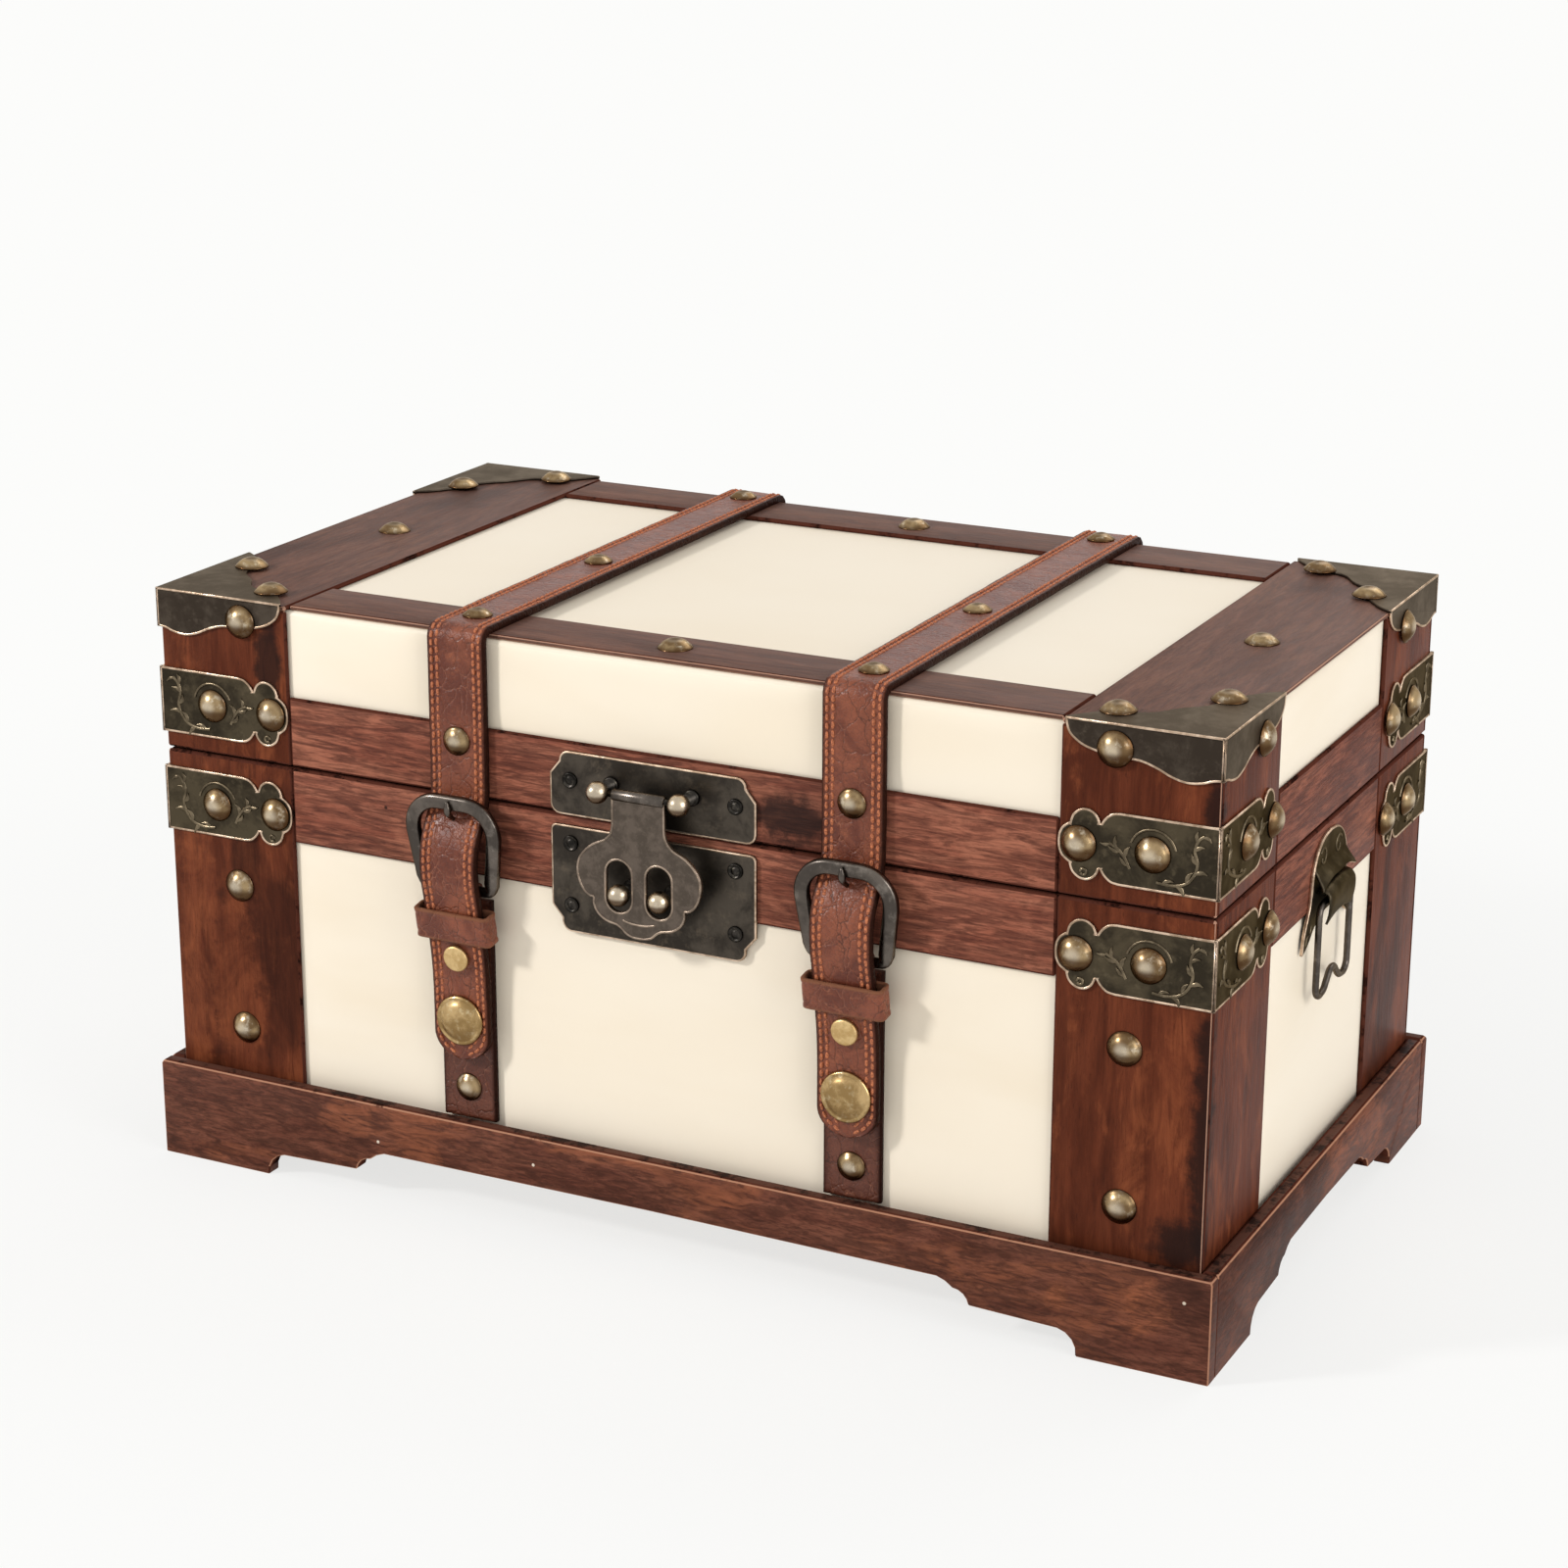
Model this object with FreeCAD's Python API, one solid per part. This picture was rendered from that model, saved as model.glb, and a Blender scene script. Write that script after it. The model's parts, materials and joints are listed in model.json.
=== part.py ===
import FreeCAD, Part
import math
import os

# Storage trunk with a hinged lid: boards, glued covering, wood strips, straps and metal fittings.
# Millimetres. X runs along the front, the front looks along -Y, Z is up and 0 is the floor.
# Shapes are drawn about the middle of the box. Each part is then moved by frame_shift, so that
# the origin is on the floor under the middle of the whole trunk, latch and plinth included.

V = FreeCAD.Vector
LEFT, RIGHT = -1, 1

# Body
trunk_length = 388.0
trunk_depth = 218.0
trunk_height = 210.0
rim_share = 153.0 / 210.0
wall_board = 7.0
floor_board = 6.0
lid_panel = 6.0
floor_lift = 20.0
cover_sheet = 1.3
wood_strip = 1.7
seam_gap = 0.4
edge_chamfer = 0.6
cover_roll = 1.6

# Wood strips
front_stile = 52.0
side_stile = 55.0
rim_rail = 27.5
lid_rail = 25.0
top_rail = 26.5
top_rail_setback = 2.5

# Plinth
plinth_height = 36.0
plinth_board = 6.0
front_foot = 45.0
side_foot = 40.0
foot_step = 8.6
step_run = 6.5
front_ledge = 31.0
side_ledge = 20.0
ledge_rise = 1.0
arch_rise = 17.6
arch_run = 11.5
arch_crown = 0.6
plinth_chamfer = 1.0

# Corner fittings
fitting_sheet = 1.0
bracket_height = 23.5
bracket_body = 31.5
bracket_arm = 52.0
bracket_neck = 14.6
bracket_neck_run = 6.5
bracket_lobe_run = 16.7
bracket_drop = 18.0
lid_bracket_rise = 18.0
cap_front_arm = 50.5
cap_side_arm = 54.5
cap_drop = 13.0
cap_lobe = 15.2
cap_wave = 9.8

# Domed nails
nail_width = 12.0
nail_height = 3.3
strap_nail_width = 10.3
strap_nail_height = 2.8
dome_sides = 8
turned_sides = 12
fitting_turn = 30.0
fine_turn = 20.0
bracket_nail_near = 20.8
bracket_nail_far = 45.0
cap_nail_front = 34.0
cap_nail_side = 36.0
cap_nail_drop = 7.2
cap_top_nail_long = 38.3
cap_top_nail_short = 12.0
post_nail_inset = 28.0
post_nail_shares = (106.0 / 153.0, 52.5 / 153.0)

# Straps
strap_share = 73.0 / 194.0
strap_width = 22.0
strap_thick = 2.8
strap_bend = 4.0
lower_strap_width = 21.0
lower_strap_thick = 2.6
lower_strap_drop = 4.5
flap_rise = 7.0
flap_gap = 0.3
strap_rear_rise = 5.0
strap_nail_share = 37.0 / 57.0
strap_nail_in = 12.5
strap_mid_nail = -15.0

# Buckled flap. Places along it are shares of its length, from the line where it bends.
flap_share = 100.5 / 124.0
tongue_width = 22.6
tongue_tip_rise = 9.0
tongue_flat_share = 0.7562
tongue_flat_stand = 2.4
tongue_line = (
    (0.3, 0.0597),
    (1.4, 0.1045),
    (4.6, 0.1592),
    (7.6, 0.2090),
    (8.9, 0.2687),
    (8.6, 0.3483),
    (7.2, 0.4080),
    (3.4, 0.6169),
    (2.65, 0.6965),
)
prong_hole_width = 3.6
prong_hole_high_share = 0.0896
prong_hole_low_share = 0.2090
prong_bend_share = 0.1841
buckle_bar_share = 0.3831
buckle_height_share = 0.3383
buckle_bar_stand = 4.1
buckle_bar_radius = 1.6
buckle_top_width = 36.5
buckle_foot_width = 31.5
buckle_band = 5.2
buckle_depth = 3.4
buckle_lean = 6.5
buckle_round = 13.0
prong_width = 2.6
prong_thick = 1.8
chape_thick = 1.2
chape_width = 16.0
chape_slot = 4.4
chape_end_share = 0.6766
pivot_gap = 0.1
keeper_width = 29.5
keeper_height_share = 0.1095
keeper_band = 1.5
keeper_share = 0.5025
keeper_play = 0.2
flap_rivet_width = 9.5
flap_rivet_share = 0.6269
flap_rivet_thick = 1.2
snap_width = 18.0
snap_share = 0.8557
snap_dome = 3.2
snap_rim = 0.8
magnet_width = 12.0
magnet_thick = 1.2

# Latch
latch_plate = 1.2
latch_width = 76.5
rod_plate_drop = 0.2
rod_plate_height = 22.2
catch_plate_drop = 3.7
catch_plate_height = 37.5
latch_corner = 3.6
catch_corner = 2.2
latch_notch_run = 7.0
latch_notch_drop = 8.0
latch_rivet_width = 5.5
latch_rivet_thick = 0.6
latch_rivet_in = 7.6
rod_rivet_drop = 10.0
catch_rivet_drop = 6.2
catch_rivet_rise = 9.6
rod_rise = 12.8
rod_stand = 9.6
rod_radius = 1.1
rod_clearance = 0.05
barrel_radius = 2.0
post_spread = 30.0
post_neck = 4.2
post_collar = 0.7
post_collar_height = 1.2
ball_width = 7.5
ball_stand = 10.6
hasp_sheet = 1.5
hasp_stand = 10.6
hasp_neck = 19.3
hasp_neck_length = 9.8
hasp_lobe = 46.4
hasp_lobe_drop = 25.8
hasp_length = 48.4
slot_spread = 14.8
slot_width = 9.2
slot_height = 17.8
slot_drop = 31.2
knob_spread = 15.0
knob_drop = 32.8
knob_width = 7.4
knob_dome = 3.0
knob_clearance = 0.3

# Hinges
hinge_gap = 4.0
hinge_width = 32.0
hinge_leaf = 1.2
hinge_leaf_height = 15.0
hinge_barrel = 2.7
hinge_pin = 1.3
hinge_clearance = 0.05
hinge_barrel_gap = 0.2
knuckle_play = 0.15
hinge_middle_knuckle = 12.0
pin_head = 0.8
pin_head_radius = 2.2

# End handles
handle_sheet = 1.2
handle_width = 50.0
handle_drop = 3.0
handle_height = 37.0
handle_shoulder_drop = 19.0
handle_waist = 36.0
bail_axis_drop = 22.0
bail_wire = 1.5
bail_clearance = 0.05
bail_width = 36.0
bail_drop = 34.0
bail_bend = 4.0
bail_bow_rise = 6.0
bail_bow_turn = 60.0
bail_sides = 8
bail_sleeve = 1.4
bail_sleeve_gap = 0.3
hood_width = 34.0
hood_sheet = 0.9
hood_rise = 10.5
hood_lip = 4.5
hood_bow = 1.5

# Worked out from the sizes above
half_length = trunk_length / 2
half_depth = trunk_depth / 2
rim_height = trunk_height * rim_share
cover_x = half_length - wood_strip
cover_y = half_depth - wood_strip
wall_x = cover_x - cover_sheet
wall_y = cover_y - cover_sheet
inner_x = wall_x - wall_board
inner_y = wall_y - wall_board
cover_top = trunk_height - wood_strip
panel_top = cover_top - cover_sheet
panel_low = panel_top - lid_panel
base_strip_top = rim_height - seam_gap
lid_strip_low = rim_height + seam_gap
stile_inner_x = half_length - front_stile
stile_inner_y = half_depth - side_stile
base_bracket_middle = rim_height - bracket_drop
lid_bracket_middle = rim_height + lid_bracket_rise
fitting_top = trunk_height + fitting_sheet
strap_centre = half_length * strap_share
strap_rear_end = rim_height + strap_rear_rise
strap_nail_drop = (trunk_height - rim_height) * strap_nail_share
flap_line = rim_height + flap_rise
flap_length = (flap_line - plinth_height) * flap_share
tongue_tip = flap_line - flap_length
tongue_flat_top = flap_line - flap_length * tongue_flat_share
prong_hole_high = flap_line - flap_length * prong_hole_high_share
prong_hole_low = flap_line - flap_length * prong_hole_low_share
prong_bend = flap_line - flap_length * prong_bend_share
buckle_bar_height = flap_line - flap_length * buckle_bar_share
buckle_height = flap_length * buckle_height_share
chape_end = flap_line - flap_length * chape_end_share
keeper_height = flap_length * keeper_height_share
keeper_middle = flap_line - flap_length * keeper_share
flap_rivet_height = flap_line - flap_length * flap_rivet_share
snap_height = flap_line - flap_length * snap_share
lower_strap_top = buckle_bar_height - lower_strap_drop
lower_nail_height = (plinth_height + tongue_tip) / 2
rod_height = rim_height + rod_rise
rod_plate_low = rim_height - rod_plate_drop
rod_plate_high = rod_plate_low + rod_plate_height
catch_plate_high = rim_height - catch_plate_drop
catch_plate_low = catch_plate_high - catch_plate_height
hasp_neck_low = rod_height - hasp_neck_length
hasp_lobe_height = rod_height - hasp_lobe_drop
hasp_tip = rod_height - hasp_length
slot_middle = rod_height - slot_drop
knob_height = rod_height - knob_drop
hinge_centre = half_length - bracket_arm - hinge_gap - hinge_width / 2
handle_top = rim_height - handle_drop
handle_low = handle_top - handle_height
handle_shoulder = handle_top - handle_shoulder_drop
bail_height = handle_top - bail_axis_drop
front_reach = half_depth + ball_stand + ball_width / 2
rear_reach = half_depth + plinth_board
frame_shift = (front_reach - rear_reach) / 2


# Plain shapes


def block(x0, x1, y0, y1, z0, z1, chamfer=0.0):
    """A box between low and high corners, with every edge chamfered."""
    solid = Part.makeBox(x1 - x0, y1 - y0, z1 - z0, V(x0, y0, z0))
    if chamfer > 0:
        solid = solid.makeChamfer(chamfer, solid.Edges)
    return solid


def with_mirror(start, steps):
    """Close a half outline, whose ends lie on the axis a = 0, with its mirror image."""
    points = [start] + [step[-1] for step in steps]
    closed = list(steps)
    for index in range(len(steps) - 1, -1, -1):
        end = (-points[index][0], points[index][1])
        if len(steps[index]) == 2:
            middle = steps[index][0]
            closed.append(((-middle[0], middle[1]), end))
        else:
            closed.append((end,))
    return closed


def arc_edges(start, middle, end, turn):
    """Chords along a three-point arc, one for each so many degrees of turn."""
    arc = Part.Arc(start, middle, end)
    count = max(2, round(math.degrees(arc.LastParameter - arc.FirstParameter) / turn))
    points = arc.discretize(Number=count + 1)
    return [Part.LineSegment(a, b).toShape() for a, b in zip(points, points[1:])]


def outline(start, steps, place, turn=fine_turn):
    """A closed wire of straight steps (end,) and three-point arcs (middle, end)."""
    edges = []
    first = place(*start)
    here = first
    for step in steps:
        end = place(*step[-1])
        if len(step) == 2:
            edges += arc_edges(here, place(*step[0]), end, turn)
        elif (end - here).Length > 1e-6:
            edges.append(Part.LineSegment(here, end).toShape())
        here = end
    if (here - first).Length > 1e-6:
        edges.append(Part.LineSegment(here, first).toShape())
    return Part.Wire(edges)


def plate(start, steps, place, depth, turn=fine_turn):
    """An outline pushed along a vector."""
    return Part.Face(outline(start, steps, place, turn)).extrude(depth)


def on_front(y):
    """Outline plane that faces the front: a is X, b is Z."""
    return lambda a, b: V(a, y, b)


def on_side(x):
    """Outline plane that faces the right: a is Y, b is Z."""
    return lambda a, b: V(x, a, b)


def turned(solid, place, axis):
    """Stand a shape that was made along +Z at a place, along an axis."""
    solid.Placement = FreeCAD.Placement(place, FreeCAD.Rotation(V(0, 0, 1), axis))
    return solid


def ring_of(radius, height, sides):
    """Corners of a polygon on a circle, the first one repeated at the end."""
    corners = []
    for index in range(sides + 1):
        angle = 2 * math.pi * (index % sides + 0.5) / sides
        corners.append(V(radius * math.cos(angle), radius * math.sin(angle), height))
    return corners


def flat_face(corners):
    return Part.Face(Part.makePolygon(corners + [corners[0]]))


def faceted(profile, place, axis, sides):
    """A turned piece with flat facets: (radius, height) rings from its foot to its top."""
    rings = [ring_of(radius, height, sides) for radius, height in profile]
    faces = [flat_face(rings[0][:-1]), flat_face(rings[-1][:-1])]
    for low, high in zip(rings, rings[1:]):
        for index in range(sides):
            faces.append(flat_face([low[index], low[index + 1], high[index + 1], high[index]]))
    return turned(Part.Solid(Part.Shell(faces)), place, axis)


def facet_bar(radius, start, length, axis):
    """A straight bar with flat facets from a start along a unit axis."""
    return faceted([(radius, 0), (radius, length)], start, axis, turned_sides)


def closed_tube(points, radius, across, sides):
    """A wire bent in one plane through a closed loop of points, with mitred corners."""
    rings = []
    for index, point in enumerate(points):
        before = (point - points[index - 1]).normalize()
        after = (points[(index + 1) % len(points)] - point).normalize()
        along = (before + after).normalize()
        outward = along.cross(across).multiply(1 / along.dot(after))
        ring = []
        for corner in ring_of(radius, 0, sides):
            ring.append(point + outward * corner.x + across * corner.y)
        rings.append(ring)
    faces = []
    for index, ring in enumerate(rings):
        other = rings[index - 1]
        for side in range(sides):
            loop = [ring[side], ring[side + 1], other[side + 1], other[side]]
            faces.append(flat_face(loop))
    return Part.Solid(Part.Shell(faces))


def dome(width, height, place, axis):
    """A domed nail head, which stands on its rim."""
    radius = width / 2
    sphere = (radius ** 2 + height ** 2) / (2 * height)
    profile = []
    for share in (0.0, 0.55, 0.92):
        level = height * share
        reach = math.sqrt(sphere ** 2 - (sphere - height + level) ** 2)
        profile.append((reach, level))
    return faceted(profile, place, axis, dome_sides)


def four_corners(solid):
    """The front right piece and its images at the other corners."""
    left = solid.mirror(V(0, 0, 0), V(1, 0, 0))
    rear = V(0, 1, 0)
    return [solid, left, solid.mirror(V(0, 0, 0), rear), left.mirror(V(0, 0, 0), rear)]


def save(name, *solids):
    """Write one sub-part, moved from the body's middle to the middle of the whole depth."""
    shape = Part.makeCompound([solid.copy() for solid in solids])
    if len(solids) == 1:
        shape = solids[0].copy()
    shape.translate(V(0, frame_shift, 0))
    shape.exportStep("parts/" + name + ".step")


# Boards and covering


def build_box_boards(prefix, low, high):
    """Four walls, with the long ones covering the ends of the short ones."""
    for name, side in (("front", -1), ("rear", 1)):
        edges = sorted((side * wall_y, side * inner_y))
        save(f"{prefix}_{name}_wall", block(-wall_x, wall_x, edges[0], edges[1], low, high))
    for name, side in (("left", LEFT), ("right", RIGHT)):
        edges = sorted((side * wall_x, side * inner_x))
        save(f"{prefix}_{name}_wall", block(edges[0], edges[1], -inner_y, inner_y, low, high))


def build_boards():
    build_box_boards("base", floor_lift, rim_height)
    build_box_boards("lid", rim_height, panel_low)
    floor_top = floor_lift + floor_board
    save("bottom_panel", block(-inner_x, inner_x, -inner_y, inner_y, floor_lift, floor_top))
    save("lid_top_panel", block(-wall_x, wall_x, -wall_y, wall_y, panel_low, panel_top))


def build_coverings():
    """Covering glued round the base, and over the lid with a soft rolled edge."""
    outer = block(-cover_x, cover_x, -cover_y, cover_y, floor_lift, base_strip_top)
    inner = block(-wall_x, wall_x, -wall_y, wall_y, floor_lift, base_strip_top)
    save("base_covering", outer.cut(inner))
    outer = block(-cover_x, cover_x, -cover_y, cover_y, lid_strip_low, cover_top)
    rolled = [edge for edge in outer.Edges if edge.BoundBox.ZMin > cover_top - edge_chamfer]
    outer = outer.makeFillet(cover_roll, rolled)
    inner = block(-wall_x, wall_x, -wall_y, wall_y, lid_strip_low, panel_top)
    save("lid_covering", outer.cut(inner))


# Wood strips


def stiles(low, high):
    """Corner strips: a wide one on the front and rear, and one behind it on each end."""
    front = block(stile_inner_x, half_length, -half_depth, -cover_y, low, high, edge_chamfer)
    side = block(cover_x, half_length, -cover_y, -stile_inner_y, low, high, edge_chamfer)
    return four_corners(front) + four_corners(side)


def rails(low, high):
    """Strips between the corner strips, on all four faces."""
    front = block(-stile_inner_x, stile_inner_x, -half_depth, -cover_y, low, high, edge_chamfer)
    side = block(cover_x, half_length, -stile_inner_y, stile_inner_y, low, high, edge_chamfer)
    rear = front.mirror(V(0, 0, 0), V(0, 1, 0))
    return [front, rear, side, side.mirror(V(0, 0, 0), V(1, 0, 0))]


def build_strips():
    save("base_corner_stiles", *stiles(floor_lift, base_strip_top))
    save("lid_corner_stiles", *stiles(lid_strip_low, cover_top))
    save("base_rim_rails", *rails(rim_height - rim_rail, base_strip_top))
    save("lid_rim_rails", *rails(lid_strip_low, rim_height + lid_rail))
    rail_edge = half_depth - top_rail_setback
    top = (cover_top, trunk_height, edge_chamfer)
    front = block(-stile_inner_x, stile_inner_x, -rail_edge, top_rail - rail_edge, *top)
    save("lid_top_rails", front, front.mirror(V(0, 0, 0), V(0, 1, 0)))
    end = block(stile_inner_x, half_length, -half_depth, half_depth, *top)
    save("lid_end_boards", end, end.mirror(V(0, 0, 0), V(1, 0, 0)))


# Plinth


def plinth_outline(half, foot, ledge):
    """Half of a plinth board: foot, small step, ledge, curve and a long shallow arch."""
    foot_in = half - foot
    step_in = foot_in - step_run
    ledge_in = step_in - ledge
    arch_in = ledge_in - arch_run
    ledge_low = foot_step + ledge_rise
    swing = (arch_rise + ledge_low) / 2
    return (0, plinth_height), [
        ((half, plinth_height),),
        ((half, 0),),
        ((foot_in, 0),),
        ((foot_in - step_run * 0.2, foot_step * 0.62), (step_in, foot_step)),
        ((ledge_in, ledge_low),),
        ((ledge_in - arch_run * 0.12, swing - 1), (ledge_in - arch_run / 2, swing + 1)),
        ((ledge_in - arch_run * 0.75, arch_rise - 1), (arch_in, arch_rise)),
        ((0, arch_rise + arch_crown),),
    ]


def chamfer_top(board):
    edges = [e for e in board.Edges if e.BoundBox.ZMin > plinth_height - edge_chamfer / 2]
    return board.makeChamfer(plinth_chamfer, edges)


def build_plinth():
    reach = half_length + plinth_board
    start, steps = plinth_outline(reach, front_foot, front_ledge)
    steps = with_mirror(start, steps)
    front = plate(start, steps, on_front(-half_depth - plinth_board), V(0, plinth_board, 0))
    front = chamfer_top(front)
    save("plinth_front_board", front)
    save("plinth_rear_board", front.mirror(V(0, 0, 0), V(0, 1, 0)))
    start, steps = plinth_outline(half_depth, side_foot - plinth_board, side_ledge)
    steps = with_mirror(start, steps)
    side = chamfer_top(plate(start, steps, on_side(half_length), V(plinth_board, 0, 0)))
    save("plinth_right_board", side)
    save("plinth_left_board", side.mirror(V(0, 0, 0), V(1, 0, 0)))


# Corner fittings


def bracket_outline():
    """One arm of a corner bracket, from the corner out to its three-lobed end."""
    high = bracket_height / 2
    neck = bracket_neck / 2
    notch = bracket_body + bracket_neck_run
    lobe = bracket_body + bracket_lobe_run
    waist = neck * 0.9
    half = [
        ((bracket_body, high),),
        ((bracket_body + bracket_neck_run * 0.6, high * 0.87), (notch, neck)),
        ((notch + 5.4, high), (lobe, waist)),
        ((bracket_arm, 0), (lobe, -waist)),
        ((notch + 5.4, -high), (notch, -neck)),
        ((bracket_body + bracket_neck_run * 0.6, -high * 0.87), (bracket_body, -high)),
        ((-fitting_sheet, -high),),
    ]
    return (-fitting_sheet, high), half


def bracket(middle):
    """A stamped bracket folded round the front right corner."""
    start, steps = bracket_outline()
    face_y = -half_depth - fitting_sheet
    depth = V(0, fitting_sheet, 0)
    front = plate(start, steps, lambda a, b: V(half_length - a, face_y, middle + b), depth, fitting_turn)
    depth = V(fitting_sheet, 0, 0)
    place = lambda a, b: V(half_length, a - half_depth, middle + b)
    side = plate(start, steps, place, depth, fitting_turn)
    return front.fuse(side).removeSplitter()


def flange_outline(arm):
    """The waved flange of a top corner cap: a is the way from the corner, b is down."""
    return (-fitting_sheet, fitting_sheet), [
        ((arm, fitting_sheet),),
        ((arm, 0),),
        ((arm - 4.5, -5.0), (arm - 12.5, -cap_wave + 1.2)),
        ((arm - 22.0, -cap_wave),),
        ((arm - 28.5, -cap_wave - 0.7), (arm - 33.0, -(cap_wave + cap_lobe) / 2)),
        ((9.5, -cap_lobe), (-fitting_sheet, -cap_drop)),
    ]


def corner_cap():
    """Top corner cap: a triangle on top with a waved flange down each face."""
    edge_x = half_length + fitting_sheet
    edge_y = -half_depth - fitting_sheet
    corners = [(edge_x, edge_y), (half_length - cap_front_arm, edge_y)]
    corners.append((edge_x, cap_side_arm - half_depth))
    loop = [V(x, y, trunk_height) for x, y in corners]
    top = Part.Face(Part.makePolygon(loop + [loop[0]])).extrude(V(0, 0, fitting_sheet))
    start, steps = flange_outline(cap_front_arm)
    depth = V(0, fitting_sheet, 0)
    place = lambda a, b: V(half_length - a, edge_y, trunk_height + b)
    front = plate(start, steps, place, depth, fitting_turn)
    start, steps = flange_outline(cap_side_arm)
    depth = V(fitting_sheet, 0, 0)
    place = lambda a, b: V(half_length, a - half_depth, trunk_height + b)
    side = plate(start, steps, place, depth, fitting_turn)
    return top.fuse([front, side]).removeSplitter()


def bracket_nails(middle):
    heads = []
    face_y = -half_depth - fitting_sheet
    face_x = half_length + fitting_sheet
    for way in (bracket_nail_near, bracket_nail_far):
        front = V(half_length - way, face_y, middle)
        heads += four_corners(dome(nail_width, nail_height, front, V(0, -1, 0)))
        side = V(face_x, way - half_depth + 3.0, middle)
        heads += four_corners(dome(nail_width, nail_height, side, V(1, 0, 0)))
    return heads


def cap_nails():
    height = trunk_height - cap_nail_drop
    face_y = -half_depth - fitting_sheet
    face_x = half_length + fitting_sheet
    front = V(half_length - cap_nail_front, face_y, height)
    side = V(face_x, cap_nail_side - half_depth, height - 1.8)
    long_top = V(half_length - cap_top_nail_long, cap_top_nail_short - half_depth, fitting_top)
    short_top = V(half_length - cap_top_nail_short, cap_top_nail_long - half_depth, fitting_top)
    heads = four_corners(dome(nail_width, nail_height, front, V(0, -1, 0)))
    heads += four_corners(dome(nail_width, nail_height, side, V(1, 0, 0)))
    heads += four_corners(dome(nail_width, nail_height, long_top, V(0, 0, 1)))
    return heads + four_corners(dome(nail_width, nail_height, short_top, V(0, 0, 1)))


def top_nails():
    rail_middle = half_depth - top_rail_setback - top_rail / 2
    spots = [V(0, side * rail_middle, trunk_height) for side in (-1, 1)]
    board_middle = half_length - front_stile / 2
    spots += [V(side * board_middle, 0, trunk_height) for side in (LEFT, RIGHT)]
    return [dome(nail_width, nail_height, spot, V(0, 0, 1)) for spot in spots]


def post_nails():
    heads = []
    for share in post_nail_shares:
        place = V(half_length - post_nail_inset, -half_depth, rim_height * share)
        heads += four_corners(dome(nail_width, nail_height, place, V(0, -1, 0)))
    return heads


def build_corner_fittings():
    save("base_corner_brackets", *four_corners(bracket(base_bracket_middle)))
    save("lid_corner_brackets", *four_corners(bracket(lid_bracket_middle)))
    save("lid_corner_caps", *four_corners(corner_cap()))
    save("base_dome_nails", *bracket_nails(base_bracket_middle), *post_nails())
    save("lid_dome_nails", *bracket_nails(lid_bracket_middle), *cap_nails(), *top_nails())


# Straps


def lid_strap(centre):
    """Leather strap over the lid, from low on its back to the line where the flap bends."""
    inner_top = trunk_height
    outer_y = half_depth + strap_thick
    outer_top = inner_top + strap_thick
    bend = strap_bend
    cut = bend * (1 - math.sqrt(0.5))
    flap_end = flap_line + flap_gap
    steps = [
        ((-half_depth, inner_top),),
        ((half_depth, inner_top),),
        ((half_depth, strap_rear_end),),
        ((outer_y, strap_rear_end),),
        ((outer_y, outer_top - bend),),
        ((outer_y - cut, outer_top - cut), (outer_y - bend, outer_top)),
        ((bend - outer_y, outer_top),),
        ((cut - outer_y, outer_top - cut), (-outer_y, outer_top - bend)),
        ((-outer_y, flap_end),),
    ]
    place = on_side(centre - strap_width / 2)
    return plate((-half_depth, flap_end), steps, place, V(strap_width, 0, 0))


def lid_strap_nails(centre):
    face_y = half_depth + strap_thick
    top = trunk_height + strap_thick
    edge = half_depth - strap_nail_in
    drop = trunk_height - strap_nail_drop
    heads = []
    for y in (-edge, strap_mid_nail, edge):
        heads.append(dome(strap_nail_width, strap_nail_height, V(centre, y, top), V(0, 0, 1)))
    for side in (-1, 1):
        place = V(centre, side * face_y, drop)
        heads.append(dome(strap_nail_width, strap_nail_height, place, V(0, side, 0)))
    return heads


def tongue_back():
    """Back line of the flap: (stand-off from the strip face, height) from the bend down."""
    line = [(tongue_line[0][0], flap_line)]
    line += [(stand, flap_line - flap_length * share) for stand, share in tongue_line]
    line.append((tongue_flat_stand, tongue_flat_top))
    line.append((tongue_flat_stand, tongue_tip))
    return line


def tongue_at(height):
    """Stand-off of the flap's back at a height, and its lean there in degrees."""
    line = tongue_back()
    for (high_stand, high), (low_stand, low) in zip(line, line[1:]):
        if low <= height <= high:
            slope = (high_stand - low_stand) / (high - low)
            return low_stand + slope * (height - low), math.degrees(math.atan(slope))
    raise ValueError("height outside the flap")


def sheet_between(points, thick, centre, width):
    """A bent sheet from its back line, with short flats, a thickness and a width along X."""
    back = [V(0, -half_depth - stand, height) for stand, height in points]
    front = []
    for index, point in enumerate(back):
        before = back[max(index - 1, 0)]
        after = back[min(index + 1, len(back) - 1)]
        along = (after - before).normalize()
        front.append(point + along.cross(V(1, 0, 0)).multiply(thick))
    front[0].z = back[0].z
    front[-1].z = back[-1].z
    face = flat_face(back + front[::-1])
    face.translate(V(centre - width / 2, 0, 0))
    return face.extrude(V(width, 0, 0))


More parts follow.
